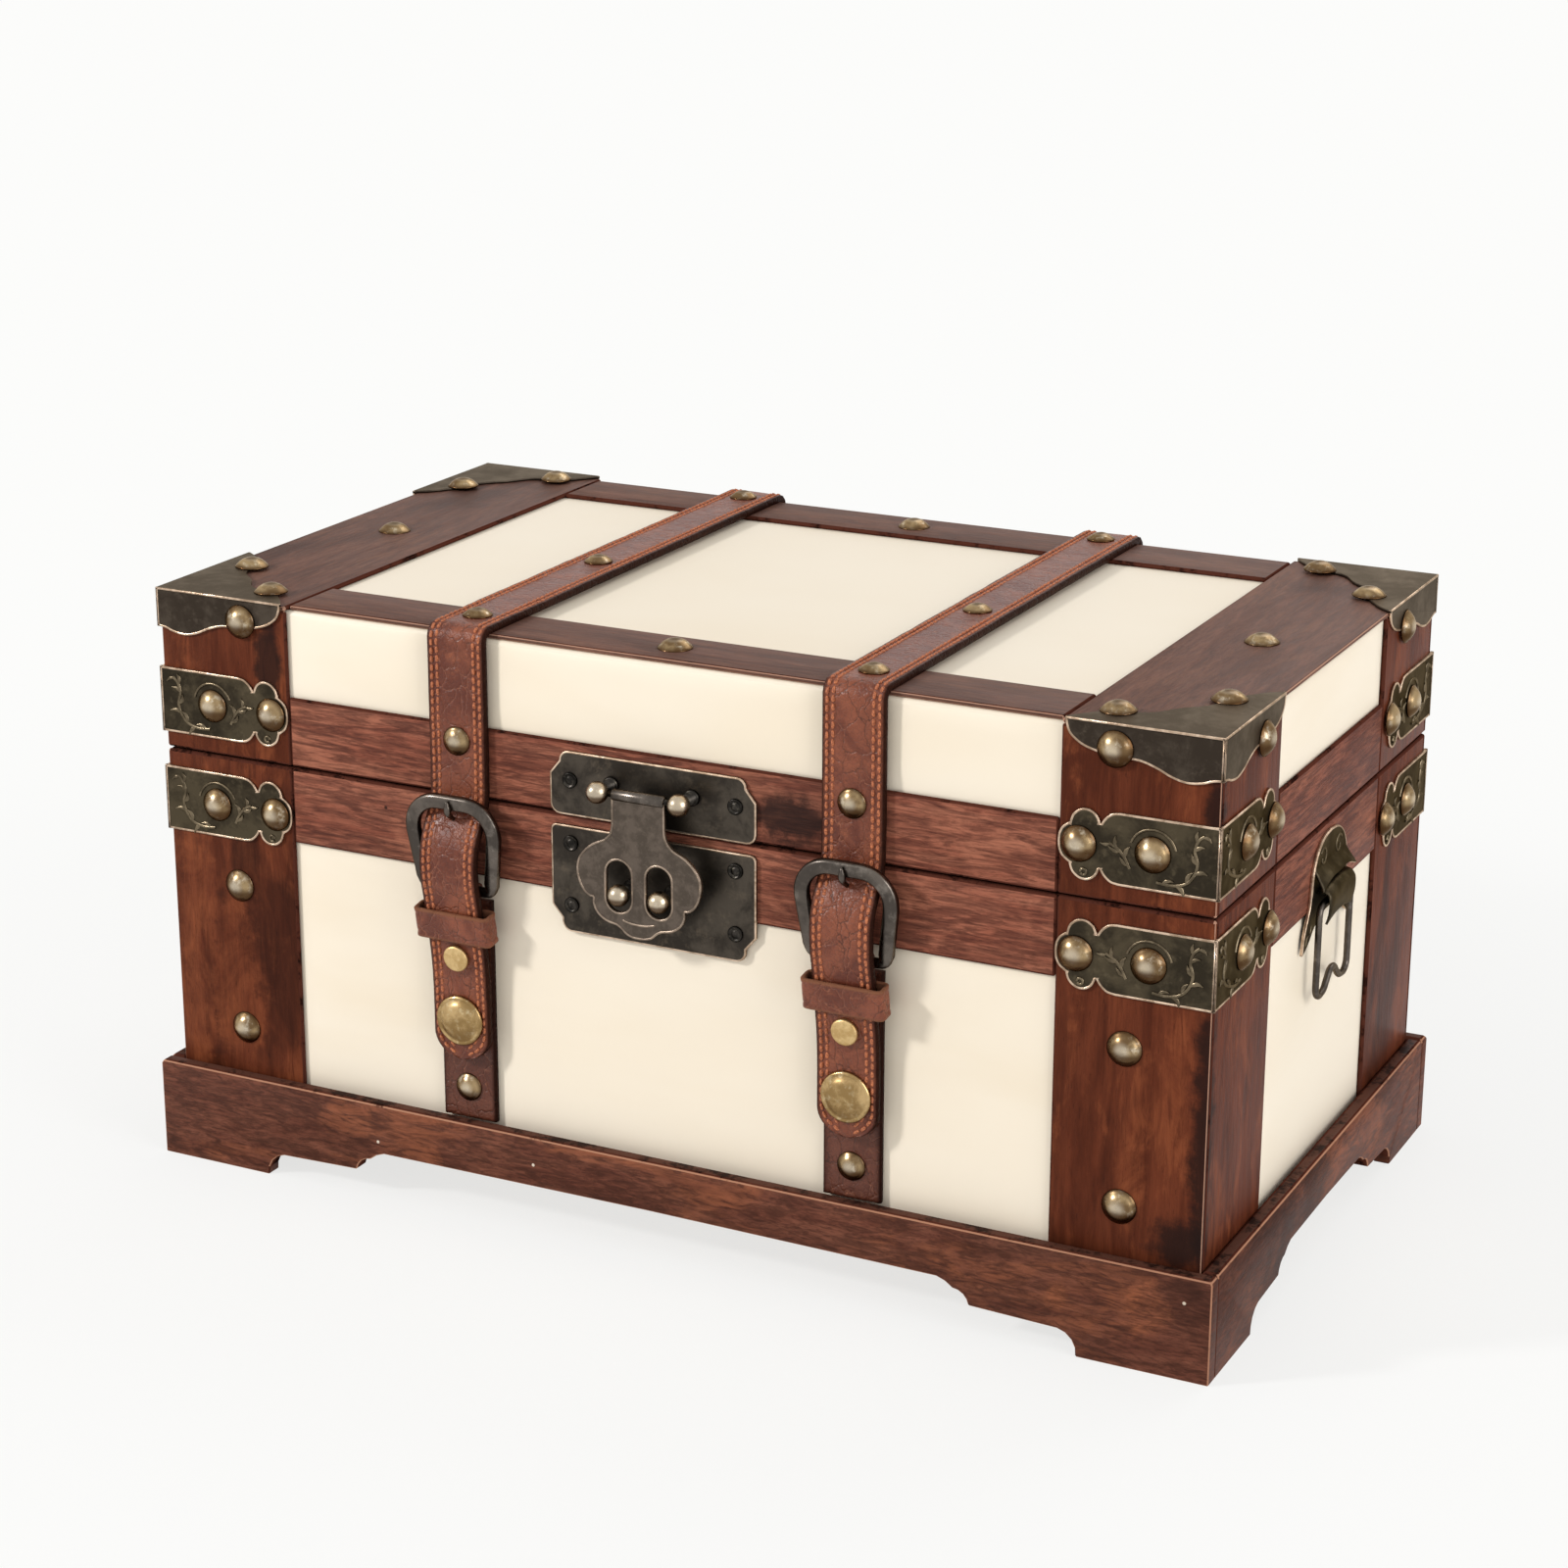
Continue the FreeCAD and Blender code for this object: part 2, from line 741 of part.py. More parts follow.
def strap_tongue(centre):
    """The flap's leather: bends out through the buckle and ends in a rounded tip."""
    half = tongue_width / 2
    sheet = sheet_between(tongue_back(), strap_thick, centre, tongue_width)
    shoulder = tongue_tip + tongue_tip_rise
    cut = half * math.sqrt(0.5)
    rise = tongue_tip_rise * math.sqrt(0.5)
    steps = [
        ((half, flap_line),),
        ((half, shoulder),),
        ((cut, shoulder - rise), (0, tongue_tip)),
    ]
    start = (0, flap_line)
    steps = with_mirror(start, steps)
    depth = V(0, half_depth, 0)
    mask = plate(start, steps, lambda a, b: V(centre + a, -half_depth * 1.5, b), depth)
    left = centre - prong_hole_width / 2
    right = centre + prong_hole_width / 2
    rear = -half_depth + strap_thick
    hole = block(left, right, -half_depth * 1.5, rear, prong_hole_low, prong_hole_high)
    return sheet.common(mask).cut(hole).removeSplitter()


def bar_place(centre):
    """Middle of the buckle's foot bar."""
    return V(centre, -half_depth - buckle_bar_stand, buckle_bar_height)


def lean_back(solid, centre, angle):
    """Lean a shape out at its top, about the buckle's foot bar."""
    solid.rotate(bar_place(centre), V(1, 0, 0), angle)
    return solid


def buckle_loop(top_half, foot_half, top, foot, bend, y):
    """Horseshoe outline with a flat foot, as a wire facing the front."""
    slope = (top_half - foot_half) / (top - foot)
    shoulder = top - bend
    cut = bend * (1 - math.sqrt(0.5))
    wide = top_half
    steps = [
        ((wide - bend, top),),
        ((wide - cut, top - cut), (wide, shoulder)),
        ((wide - slope * (shoulder - foot - 2), foot + 2),),
        ((wide - slope * (shoulder - foot) - 2, foot),),
        ((0, foot),),
    ]
    start = (0, top)
    return start, with_mirror(start, steps), on_front(y)


def buckle_frame(centre):
    """Flat horseshoe frame with a round foot bar that the chape turns on."""
    bar = bar_place(0)
    top = buckle_bar_height + buckle_height
    band = buckle_band
    half_top = buckle_top_width / 2
    half_foot = buckle_foot_width / 2
    y = bar.y - buckle_depth / 2
    depth = V(0, buckle_depth, 0)
    foot = buckle_bar_height - buckle_bar_radius
    outer = plate(*buckle_loop(half_top, half_foot, top, foot, buckle_round, y), depth)
    outer = outer.makeChamfer(edge_chamfer, [e for e in outer.Edges if not cross_edge(e)])
    inner_loop = buckle_loop(
        half_top - band, half_foot - band, top - band, foot, buckle_round - band, y
    )
    frame = outer.cut(plate(*inner_loop, depth))
    length = buckle_foot_width - 2
    foot_bar = facet_bar(buckle_bar_radius, V(-length / 2, bar.y, bar.z), length, V(1, 0, 0))
    frame = frame.fuse(foot_bar).removeSplitter()
    frame.translate(V(centre, 0, 0))
    return lean_back(frame, centre, buckle_lean)


def cross_edge(edge):
    """Is this edge one that runs through a plate, from front to back?"""
    box = edge.BoundBox
    return box.YLength > edge_chamfer


def prong(centre):
    """Flat prong: an eye on the foot bar, a stem behind the leather and a tip on the frame."""
    bar = bar_place(centre)
    eye_in = buckle_bar_radius + pivot_gap
    eye_out = eye_in + prong_thick
    stem = bar.y + eye_out - prong_thick * 0.55
    rest = bar.y - buckle_depth / 2 - pivot_gap
    top = buckle_bar_height + buckle_height
    points = [
        (stem, bar.z),
        (stem, prong_bend),
        (rest, top - buckle_band - 0.4),
        (rest, top + 0.8),
    ]
    back = [V(centre - prong_width / 2, y, z) for y, z in points]
    front = [point - V(0, prong_thick, 0) for point in back]
    loop = back + front[::-1]
    blade = Part.Face(Part.makePolygon(loop + [loop[0]])).extrude(V(prong_width, 0, 0))
    start = bar - V(prong_width / 2, 0, 0)
    eye = facet_bar(eye_out, start, prong_width, V(1, 0, 0))
    bore = facet_bar(eye_in, start, prong_width, V(1, 0, 0))
    return lean_back(eye.fuse(blade).cut(bore).removeSplitter(), centre, buckle_lean)


def chape(centre):
    """Leather loop that holds the foot bar, riveted behind the flap."""
    bar = bar_place(centre)
    points = [point for point in tongue_back() if chape_end - 3 < point[1] < buckle_bar_height + 5]
    behind = [(stand - chape_thick, height) for stand, height in points]
    tail = sheet_between(behind, chape_thick, centre, chape_width)
    start = V(centre - chape_width / 2, bar.y, bar.z)
    loop_in = buckle_bar_radius + pivot_gap
    sleeve = facet_bar(loop_in + chape_thick, start, chape_width, V(1, 0, 0))
    bore = facet_bar(loop_in, start, chape_width, V(1, 0, 0))
    tongue = sheet_between(tongue_back(), strap_thick, centre, tongue_width)
    low = block(centre - chape_width, centre + chape_width, -2 * half_depth, 0, chape_end, bar.z)
    body = tail.common(low).fuse(sleeve).cut(bore).cut(tongue)
    half = chape_slot / 2
    slot = block(centre - half, centre + half, -2 * half_depth, 0, bar.z - 5, bar.z + 8)
    return body.cut(slot)


def keeper(centre):
    """Leather loop round the flap and the chape."""
    inner_deep = strap_thick + chape_thick + 2 * keeper_play
    inner_wide = keeper_width - 2 * keeper_band
    outer = Part.makeBox(keeper_width, inner_deep + 2 * keeper_band, keeper_height)
    outer = outer.makeFillet(
        keeper_band, [e for e in outer.Edges if e.BoundBox.ZLength > keeper_height / 2]
    )
    inner = Part.makeBox(inner_wide, inner_deep, keeper_height, V(keeper_band, keeper_band, 0))
    loop = outer.cut(inner)
    stand, lean = tongue_at(keeper_middle)
    room = (strap_thick + keeper_play) / math.cos(math.radians(lean)) + keeper_band
    corner = V(centre - keeper_width / 2, -half_depth - stand - room, 0)
    loop.translate(corner + V(0, 0, keeper_middle - keeper_height / 2))
    loop.rotate(V(centre, -half_depth - stand, keeper_middle), V(1, 0, 0), lean)
    return loop


def flap_studs(centre):
    """Flat rivet through flap and chape, and the cap of the snap."""
    stand, lean = tongue_at(flap_rivet_height)
    turn = math.radians(lean)
    face_y = -half_depth - stand - strap_thick / math.cos(turn)
    place = V(centre, face_y, flap_rivet_height)
    axis = V(0, -math.cos(turn), -math.sin(turn))
    half = flap_rivet_width / 2
    head = [(half, -1), (half, flap_rivet_thick * 0.6), (half - 0.8, flap_rivet_thick)]
    tongue = sheet_between(tongue_back(), strap_thick, centre, tongue_width)
    rivet = faceted(head, place, axis, turned_sides).cut(tongue)
    rivet = min(rivet.Solids, key=lambda solid: solid.BoundBox.YMin)
    face = V(centre, -half_depth - tongue_flat_stand - strap_thick, snap_height)
    radius = snap_width / 2
    cap = [(radius, 0), (radius, snap_rim), (radius * 0.86, snap_dome * 0.62)]
    cap += [(radius * 0.56, snap_dome * 0.9), (radius * 0.2, snap_dome)]
    return [rivet, faceted(cap, face, V(0, -1, 0), turned_sides)]


def lower_strap(centre):
    half = lower_strap_width / 2
    front = -cover_y - lower_strap_thick
    return block(
        centre - half, centre + half, front, -cover_y, plinth_height, lower_strap_top, edge_chamfer
    )


def build_straps():
    lower_face = cover_y + lower_strap_thick
    lower_nails, lid_nails, magnets = [], [], []
    for name, side in (("left", LEFT), ("right", RIGHT)):
        centre = side * strap_centre
        save(f"lid_strap_{name}", lid_strap(centre))
        save(f"base_strap_{name}", lower_strap(centre))
        save(f"strap_tongue_{name}", strap_tongue(centre))
        save(f"buckle_frame_{name}", buckle_frame(centre))
        save(f"buckle_prong_{name}", prong(centre))
        save(f"buckle_chape_{name}", chape(centre))
        save(f"strap_keeper_{name}", keeper(centre))
        save(f"flap_studs_{name}", *flap_studs(centre))
        lid_nails += lid_strap_nails(centre)
        place = V(centre, -lower_face, lower_nail_height)
        lower_nails.append(dome(strap_nail_width, strap_nail_height, place, V(0, -1, 0)))
        start = V(centre, -lower_face, snap_height)
        magnets.append(facet_bar(magnet_width / 2, start, magnet_thick, V(0, -1, 0)))
    save("lid_strap_nails", *lid_nails)
    save("base_strap_nails", *lower_nails)
    save("snap_magnets", *magnets)


# Latch


def rod_plate():
    """Upper plate: rounded lower corners and notched upper corners."""
    half = latch_width / 2
    low, high, bend = rod_plate_low, rod_plate_high, latch_corner
    cut = bend * (1 - math.sqrt(0.5))
    notch = half - latch_notch_run
    steps = [
        ((notch, high),),
        ((notch + 2.6, high - 1.2), (notch + 3.4, high - 3.6)),
        ((half, high - latch_notch_drop),),
        ((half, low + bend),),
        ((half - cut, low + cut), (half - bend, low)),
        ((0, low),),
    ]
    start = (0, high)
    steps = with_mirror(start, steps)
    return plate(start, steps, on_front(-half_depth - latch_plate), V(0, latch_plate, 0))


def catch_plate():
    """Lower plate: rounded upper corners and notched lower corners."""
    half = latch_width / 2
    low, high, bend = catch_plate_low, catch_plate_high, catch_corner
    cut = bend * (1 - math.sqrt(0.5))
    notch = half - latch_notch_run
    steps = [
        ((half - bend, high),),
        ((half - cut, high - cut), (half, high - bend)),
        ((half, low + latch_notch_drop + 1),),
        ((notch + 3.2, low + 4.6),),
        ((notch + 2.6, low + 1.6), (notch, low)),
        ((0, low),),
    ]
    start = (0, high)
    steps = with_mirror(start, steps)
    return plate(start, steps, on_front(-half_depth - latch_plate), V(0, latch_plate, 0))


def plate_rivets(heights):
    face = -half_depth - latch_plate
    half = latch_rivet_width / 2
    head = [(half, 0), (half - 0.7, latch_rivet_thick)]
    rivets = []
    for height in heights:
        for side in (LEFT, RIGHT):
            place = V(side * (latch_width / 2 - latch_rivet_in), face, height)
            rivets.append(faceted(head, place, V(0, -1, 0), turned_sides))
    return rivets


def ball_rod():
    """Pivot rod held in two ball-ended posts on the upper plate."""
    foot = -half_depth - latch_plate
    ball_y = -half_depth - ball_stand
    rod_y = -half_depth - rod_stand
    half = post_spread / 2
    rod = Part.makeCylinder(rod_radius, post_spread, V(-half, rod_y, rod_height), V(1, 0, 0))
    radius = ball_width / 2
    neck = post_neck / 2
    profile = [(neck + post_collar, 0), (neck + post_collar, post_collar_height)]
    profile += [(neck, post_collar_height)]
    for turn in (-50, -15, 20, 50, 76):
        angle = math.radians(turn)
        profile.append((radius * math.cos(angle), foot - ball_y + radius * math.sin(angle)))
    posts = []
    for side in (LEFT, RIGHT):
        place = V(side * half, foot, rod_height)
        posts.append(faceted(profile, place, V(0, -1, 0), turned_sides))
    return rod.fuse(posts).removeSplitter()


def hasp_outline():
    """Half of the hasp: straight neck, wide lobe, lower lobe and a small lip."""
    neck = hasp_neck / 2
    lobe = hasp_lobe / 2
    return (0, rod_height), [
        ((neck, rod_height),),
        ((neck, hasp_neck_low),),
        ((neck + 1.0, hasp_neck_low - 3.4), (neck + 4.6, hasp_lobe_height + 9.4)),
        ((lobe, hasp_lobe_height), (lobe - 3.2, hasp_lobe_height - 8.2)),
        ((lobe - 4.8, hasp_lobe_height - 9.2), (lobe - 6.0, hasp_lobe_height - 10.6)),
        ((lobe - 8.6, hasp_tip + 7.2), (lobe - 14.2, hasp_tip + 4.6)),
        ((lobe - 16.0, hasp_tip + 4.2), (lobe - 17.2, hasp_tip + 3.2)),
        ((3.4, hasp_tip + 0.8), (0, hasp_tip)),
    ]


def hasp():
    """Hasp plate with two long slots, rolled round the rod at its top."""
    face = -half_depth - hasp_stand
    start, steps = hasp_outline()
    sheet = plate(start, with_mirror(start, steps), on_front(face), V(0, hasp_sheet, 0))
    rod_y = -half_depth - rod_stand
    left = V(-hasp_neck / 2, rod_y, rod_height)
    barrel = facet_bar(barrel_radius, left, hasp_neck, V(1, 0, 0))
    bore = Part.makeCylinder(rod_radius + rod_clearance, hasp_neck, left, V(1, 0, 0))
    slots = [hasp_slot(side * slot_spread / 2, face) for side in (LEFT, RIGHT)]
    return sheet.fuse(barrel).cut(slots + [bore]).removeSplitter()


def hasp_slot(centre, face):
    """Round-ended opening for one stud."""
    radius = slot_width / 2
    high = slot_height / 2 - radius
    steps = [
        ((centre, slot_middle + high + radius), (centre + radius, slot_middle + high)),
        ((centre + radius, slot_middle - high),),
        ((centre, slot_middle - high - radius), (centre - radius, slot_middle - high)),
    ]
    start = (centre - radius, slot_middle + high)
    return plate(start, steps, on_front(face - hasp_sheet), V(0, 3 * hasp_sheet, 0))


def latch_knobs():
    """Two headed studs on the lower plate, whose heads lie in line with the slots."""
    foot = -half_depth - latch_plate
    hasp_back = hasp_stand - hasp_sheet
    reach = hasp_back - knob_clearance - latch_plate
    neck = post_neck / 2
    half = knob_width / 2
    head = reach - knob_dome
    profile = [(neck + post_collar, 0), (neck + post_collar, post_collar_height)]
    profile += [(neck, post_collar_height), (neck, head), (half, head + knob_dome * 0.25)]
    profile += [(half * 0.88, head + knob_dome * 0.68), (half * 0.4, reach)]
    knobs = []
    for side in (LEFT, RIGHT):
        place = V(side * knob_spread / 2, foot, knob_height)
        knobs.append(faceted(profile, place, V(0, -1, 0), turned_sides))
    return knobs


def build_latch():
    save("latch_rod_plate", rod_plate())
    save("latch_rod_plate_rivets", *plate_rivets([rod_plate_high - rod_rivet_drop]))
    save("latch_catch_plate", catch_plate())
    heights = [catch_plate_high - catch_rivet_drop, catch_plate_low + catch_rivet_rise]
    save("latch_catch_plate_rivets", *plate_rivets(heights))
    save("latch_ball_rod", ball_rod())
    save("latch_hasp", hasp())
    save("latch_knobs", *latch_knobs())


# Rear hinges


def hinge_axis():
    return half_depth + hinge_barrel + hinge_barrel_gap


def hinge_leaf_solid(centre, side, spans):
    """One leaf: a plate on the strips' face, tabs and knuckles. side is +1 up, -1 down."""
    half = hinge_width / 2
    y0 = half_depth
    y1 = half_depth + hinge_leaf
    near = rim_height + side * (hinge_barrel + hinge_barrel_gap)
    far = rim_height + side * hinge_leaf_height
    low, high = sorted((near, far))
    leaf = block(centre - half, centre + half, y0, y1, low, high)
    low, high = sorted((rim_height, near))
    pieces, bores = [], []
    for x0, x1 in spans:
        pieces.append(block(centre + x0, centre + x1, y0, y1, low, high))
        start = V(centre + x0, hinge_axis(), rim_height)
        pieces.append(facet_bar(hinge_barrel, start, x1 - x0, V(1, 0, 0)))
        radius = hinge_pin + hinge_clearance
        bores.append(Part.makeCylinder(radius, x1 - x0, start, V(1, 0, 0)))
    return leaf.fuse(pieces).cut(bores).removeSplitter()


def build_hinges():
    half = hinge_width / 2
    middle = hinge_middle_knuckle / 2
    base_spans = [(-half, -middle), (middle, half)]
    lid_spans = [(knuckle_play - middle, middle - knuckle_play)]
    base, lid, pins = [], [], []
    for side in (LEFT, RIGHT):
        centre = side * hinge_centre
        base.append(hinge_leaf_solid(centre, -1, base_spans))
        lid.append(hinge_leaf_solid(centre, 1, lid_spans))
        start = V(centre - half, hinge_axis(), rim_height)
        pin = Part.makeCylinder(hinge_pin, hinge_width, start, V(1, 0, 0))
        heads = []
        for x in (centre - half - pin_head, centre + half):
            place = V(x, hinge_axis(), rim_height)
            heads.append(facet_bar(pin_head_radius, place, pin_head, V(1, 0, 0)))
        pins.append(pin.fuse(heads))
    save("hinge_base_leaves", *base)
    save("hinge_lid_leaves", *lid)
    save("hinge_pins", *pins)


# End handles


def handle_axis():
    """Middle of the bail's top bar on the right end."""
    sleeve = bail_wire + bail_clearance + bail_sleeve
    return V(half_length + handle_sheet + sleeve - bail_sleeve * 0.5, 0, bail_height)


def handle_hood():
    """Bent hood that leans out of the back plate above the sleeve, as far out as it."""
    face = half_length + handle_sheet
    root = -handle_sheet / 2
    reach = handle_axis().x + bail_wire + bail_clearance + bail_sleeve - face
    middle_out = (reach / 2 + hood_bow, (hood_rise + hood_lip) / 2 + hood_bow)
    middle_in = (middle_out[0] - hood_sheet * math.sqrt(0.5), middle_out[1] - hood_sheet * math.sqrt(0.5))
    steps = [
        (middle_out,),
        ((reach, hood_lip),),
        ((reach - hood_sheet, hood_lip),),
        (middle_in,),
        ((root, hood_rise - hood_sheet),),
    ]
    place = lambda a, b: V(face + a, -hood_width / 2, bail_height + b)
    return plate((root, hood_rise), steps, place, V(0, hood_width, 0))


def handle_plate():
    """Stamped back plate with an arched top, pointed lower wings, a hood and a rolled sleeve."""
    half = handle_width / 2
    waist = handle_waist / 2
    steps = [
        ((waist * 0.72, handle_top - 4.5), (waist, handle_shoulder + 3)),
        ((waist + 0.6, handle_shoulder - 2), (waist + 2.5, handle_shoulder - 6)),
        ((half - 1.0, handle_low + 8), (half, handle_low)),
        ((half - 6, handle_low + 2.4), (waist - 4, handle_low + 6.5)),
        ((0, handle_low + 9.5),),
    ]
    start = (0, handle_top)
    steps = with_mirror(start, steps)
    back = plate(start, steps, on_side(half_length), V(handle_sheet, 0, 0))
    axis = handle_axis()
    bore_radius = bail_wire + bail_clearance
    length = bail_width - 2 * (bail_wire + bail_bend + bail_sleeve_gap)
    start = V(axis.x, -length / 2, axis.z)
    sleeve = facet_bar(bore_radius + bail_sleeve, start, length, V(0, 1, 0))
    bore = Part.makeCylinder(bore_radius, length, start, V(0, 1, 0))
    return back.fuse([sleeve, handle_hood()]).cut(bore).removeSplitter()


def bail():
    """Wire bail: top bar in the sleeve, two arms and a bowed grip with a raised middle."""
    axis = handle_axis()
    half = bail_width / 2 - bail_wire
    low = bail_wire - bail_drop
    bend = bail_bend
    cut = bend * (1 - math.sqrt(0.5))
    turn = math.radians(bail_bow_turn)
    radius = bail_bow_rise / (2 * (1 - math.cos(turn)))
    swing = radius * math.sin(turn)
    half_swing = radius * math.sin(turn / 2)
    half_rise = radius * (1 - math.cos(turn / 2))
    high = low + bail_bow_rise
    start = (0, 0)
    steps = [
        ((half - bend, 0),),
        ((half - cut, -cut), (half, -bend)),
        ((half, low + bend),),
        ((half - cut, low + cut), (half - bend, low)),
        ((2 * swing, low),),
        ((2 * swing - half_swing, low + half_rise), (swing, low + bail_bow_rise / 2)),
        ((half_swing, high - half_rise), (0, high)),
    ]
    place = lambda a, b: V(axis.x, a, axis.z + b)
    wire = outline(start, with_mirror(start, steps), place, fitting_turn)
    points = [vertex.Point for vertex in wire.OrderedVertexes]
    return closed_tube(points[1:], bail_wire, V(1, 0, 0), bail_sides)


def build_handles():
    right_plate = handle_plate()
    right_bail = bail()
    middle = V(0, 0, 0)
    save("handle_plate_right", right_plate)
    save("handle_plate_left", right_plate.mirror(middle, V(1, 0, 0)))
    save("handle_bail_right", right_bail)
    save("handle_bail_left", right_bail.mirror(middle, V(1, 0, 0)))


def main():
    os.makedirs("parts", exist_ok=True)
    build_boards()
    build_coverings()
    build_strips()
    build_plinth()
    build_corner_fittings()
    build_straps()
    build_latch()
    build_hinges()
    build_handles()


main()
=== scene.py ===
"""Dressed model of a small storage trunk with buckled straps, a hasp latch and stamped corners."""

import json
import logging
import math
from collections.abc import Callable, Sequence
from dataclasses import dataclass, field
from enum import Enum
from itertools import accumulate

import bmesh
import bpy
from mathutils import Matrix, Vector, noise

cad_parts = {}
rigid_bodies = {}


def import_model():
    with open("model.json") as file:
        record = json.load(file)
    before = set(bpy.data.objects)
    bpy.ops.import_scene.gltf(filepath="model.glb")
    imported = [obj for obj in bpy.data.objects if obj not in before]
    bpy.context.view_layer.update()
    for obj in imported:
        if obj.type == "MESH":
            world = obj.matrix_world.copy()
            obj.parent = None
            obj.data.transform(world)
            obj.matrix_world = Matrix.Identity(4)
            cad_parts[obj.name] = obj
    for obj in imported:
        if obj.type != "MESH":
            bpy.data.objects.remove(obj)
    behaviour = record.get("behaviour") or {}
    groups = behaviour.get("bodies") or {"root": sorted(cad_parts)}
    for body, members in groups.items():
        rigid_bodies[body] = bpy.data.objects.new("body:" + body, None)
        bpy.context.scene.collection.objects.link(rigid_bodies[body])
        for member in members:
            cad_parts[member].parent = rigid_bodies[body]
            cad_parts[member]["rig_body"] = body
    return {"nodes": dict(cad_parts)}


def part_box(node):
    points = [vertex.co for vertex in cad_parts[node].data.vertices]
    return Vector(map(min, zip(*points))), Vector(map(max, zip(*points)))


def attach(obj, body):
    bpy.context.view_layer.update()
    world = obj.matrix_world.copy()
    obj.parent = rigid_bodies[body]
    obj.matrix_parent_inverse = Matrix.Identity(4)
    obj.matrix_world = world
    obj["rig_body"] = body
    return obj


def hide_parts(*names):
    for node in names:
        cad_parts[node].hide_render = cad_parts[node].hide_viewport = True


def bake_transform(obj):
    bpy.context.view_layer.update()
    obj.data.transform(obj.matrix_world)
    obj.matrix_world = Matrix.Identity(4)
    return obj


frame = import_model()

LOG = logging.getLogger("trunk")
MM = 0.001
DEPTH_SHIFT = 4.175
HALF_LENGTH = 194.0
HALF_DEPTH = 109.0
TOP = 210.0
STRAP_PLACE = 73.0
SIDES = (("left", -1), ("right", 1))
CORNERS = ((-1, -1), (-1, 1), (1, -1), (1, 1))
Point = tuple[float, float]
Point3 = tuple[float, float, float]
Rgb = tuple[int, int, int]
Piece = bpy.types.Object
Socket = bpy.types.NodeSocket
Material = bpy.types.Material
Mesh = bmesh.types.BMesh


def srgb(tone: Rgb) -> tuple[float, float, float, float]:
    """Turn an 8-bit colour into the linear colour that a shader takes.

    Args:
        tone: Red, green and blue, 0 to 255.

    Returns:
        Linear red, green, blue and full alpha.
    """
    shares = [level / 255 for level in tone]
    linear = [v / 12.92 if v <= 0.04045 else ((v + 0.055) / 1.055) ** 2.4 for v in shares]
    return (*linear, 1.0)


def spot(x: float, y: float, z: float) -> Vector:
    """Place in metres of a point given in millimetres about the middle of the trunk's box."""
    return Vector((x, y + DEPTH_SHIFT, z)) * MM


def centred(place: Vector) -> Vector:
    """The reverse of spot()."""
    return place / MM - Vector((0, DEPTH_SHIFT, 0))


def span(node: str) -> list[Vector]:
    """Lowest and highest corner of a CAD node, in millimetres about the middle of the trunk's box."""
    return [centred(corner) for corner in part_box(node)]


# --- Finishes ---


class NodeSet:
    """A node tree that is filled node by node."""

    def __init__(self, tree: bpy.types.NodeTree) -> None:
        """Empty the tree."""
        self.tree = tree
        tree.nodes.clear()

    def put(self, socket: Socket, value: object) -> None:
        """Set a socket to a number or colour, or link it to another socket.

        Args:
            socket: The input.
            value: Its value, or its source.
        """
        if isinstance(value, Socket):
            self.tree.links.new(value, socket)
        else:
            socket.default_value = value

    def node(
        self, kind: str, inputs: dict[str | int, object] | None = None, **settings: object
    ) -> bpy.types.Node:
        """Add a node.

        Args:
            kind: Its type.
            inputs: Values or sources of its inputs, by name or number.
            **settings: Its settings, which come first.

        Returns:
            The node.
        """
        made = self.tree.nodes.new(kind)
        for key, value in settings.items():
            setattr(made, key, value)
        for key, value in (inputs or {}).items():
            self.put(made.inputs[key], value)
        return made

    def seen_ray(self) -> Socket:
        """1 for rays from the camera, and for what gloss and glass show.

        Returns:
            The share.
        """
        path = self.node("ShaderNodeLightPath").outputs
        share = path["Is Camera Ray"]
        for kind in ("Is Glossy Ray", "Is Transmission Ray"):
            share = self.node("ShaderNodeMath", {0: share, 1: path[kind]}, operation="MAXIMUM").outputs[0]
        return share


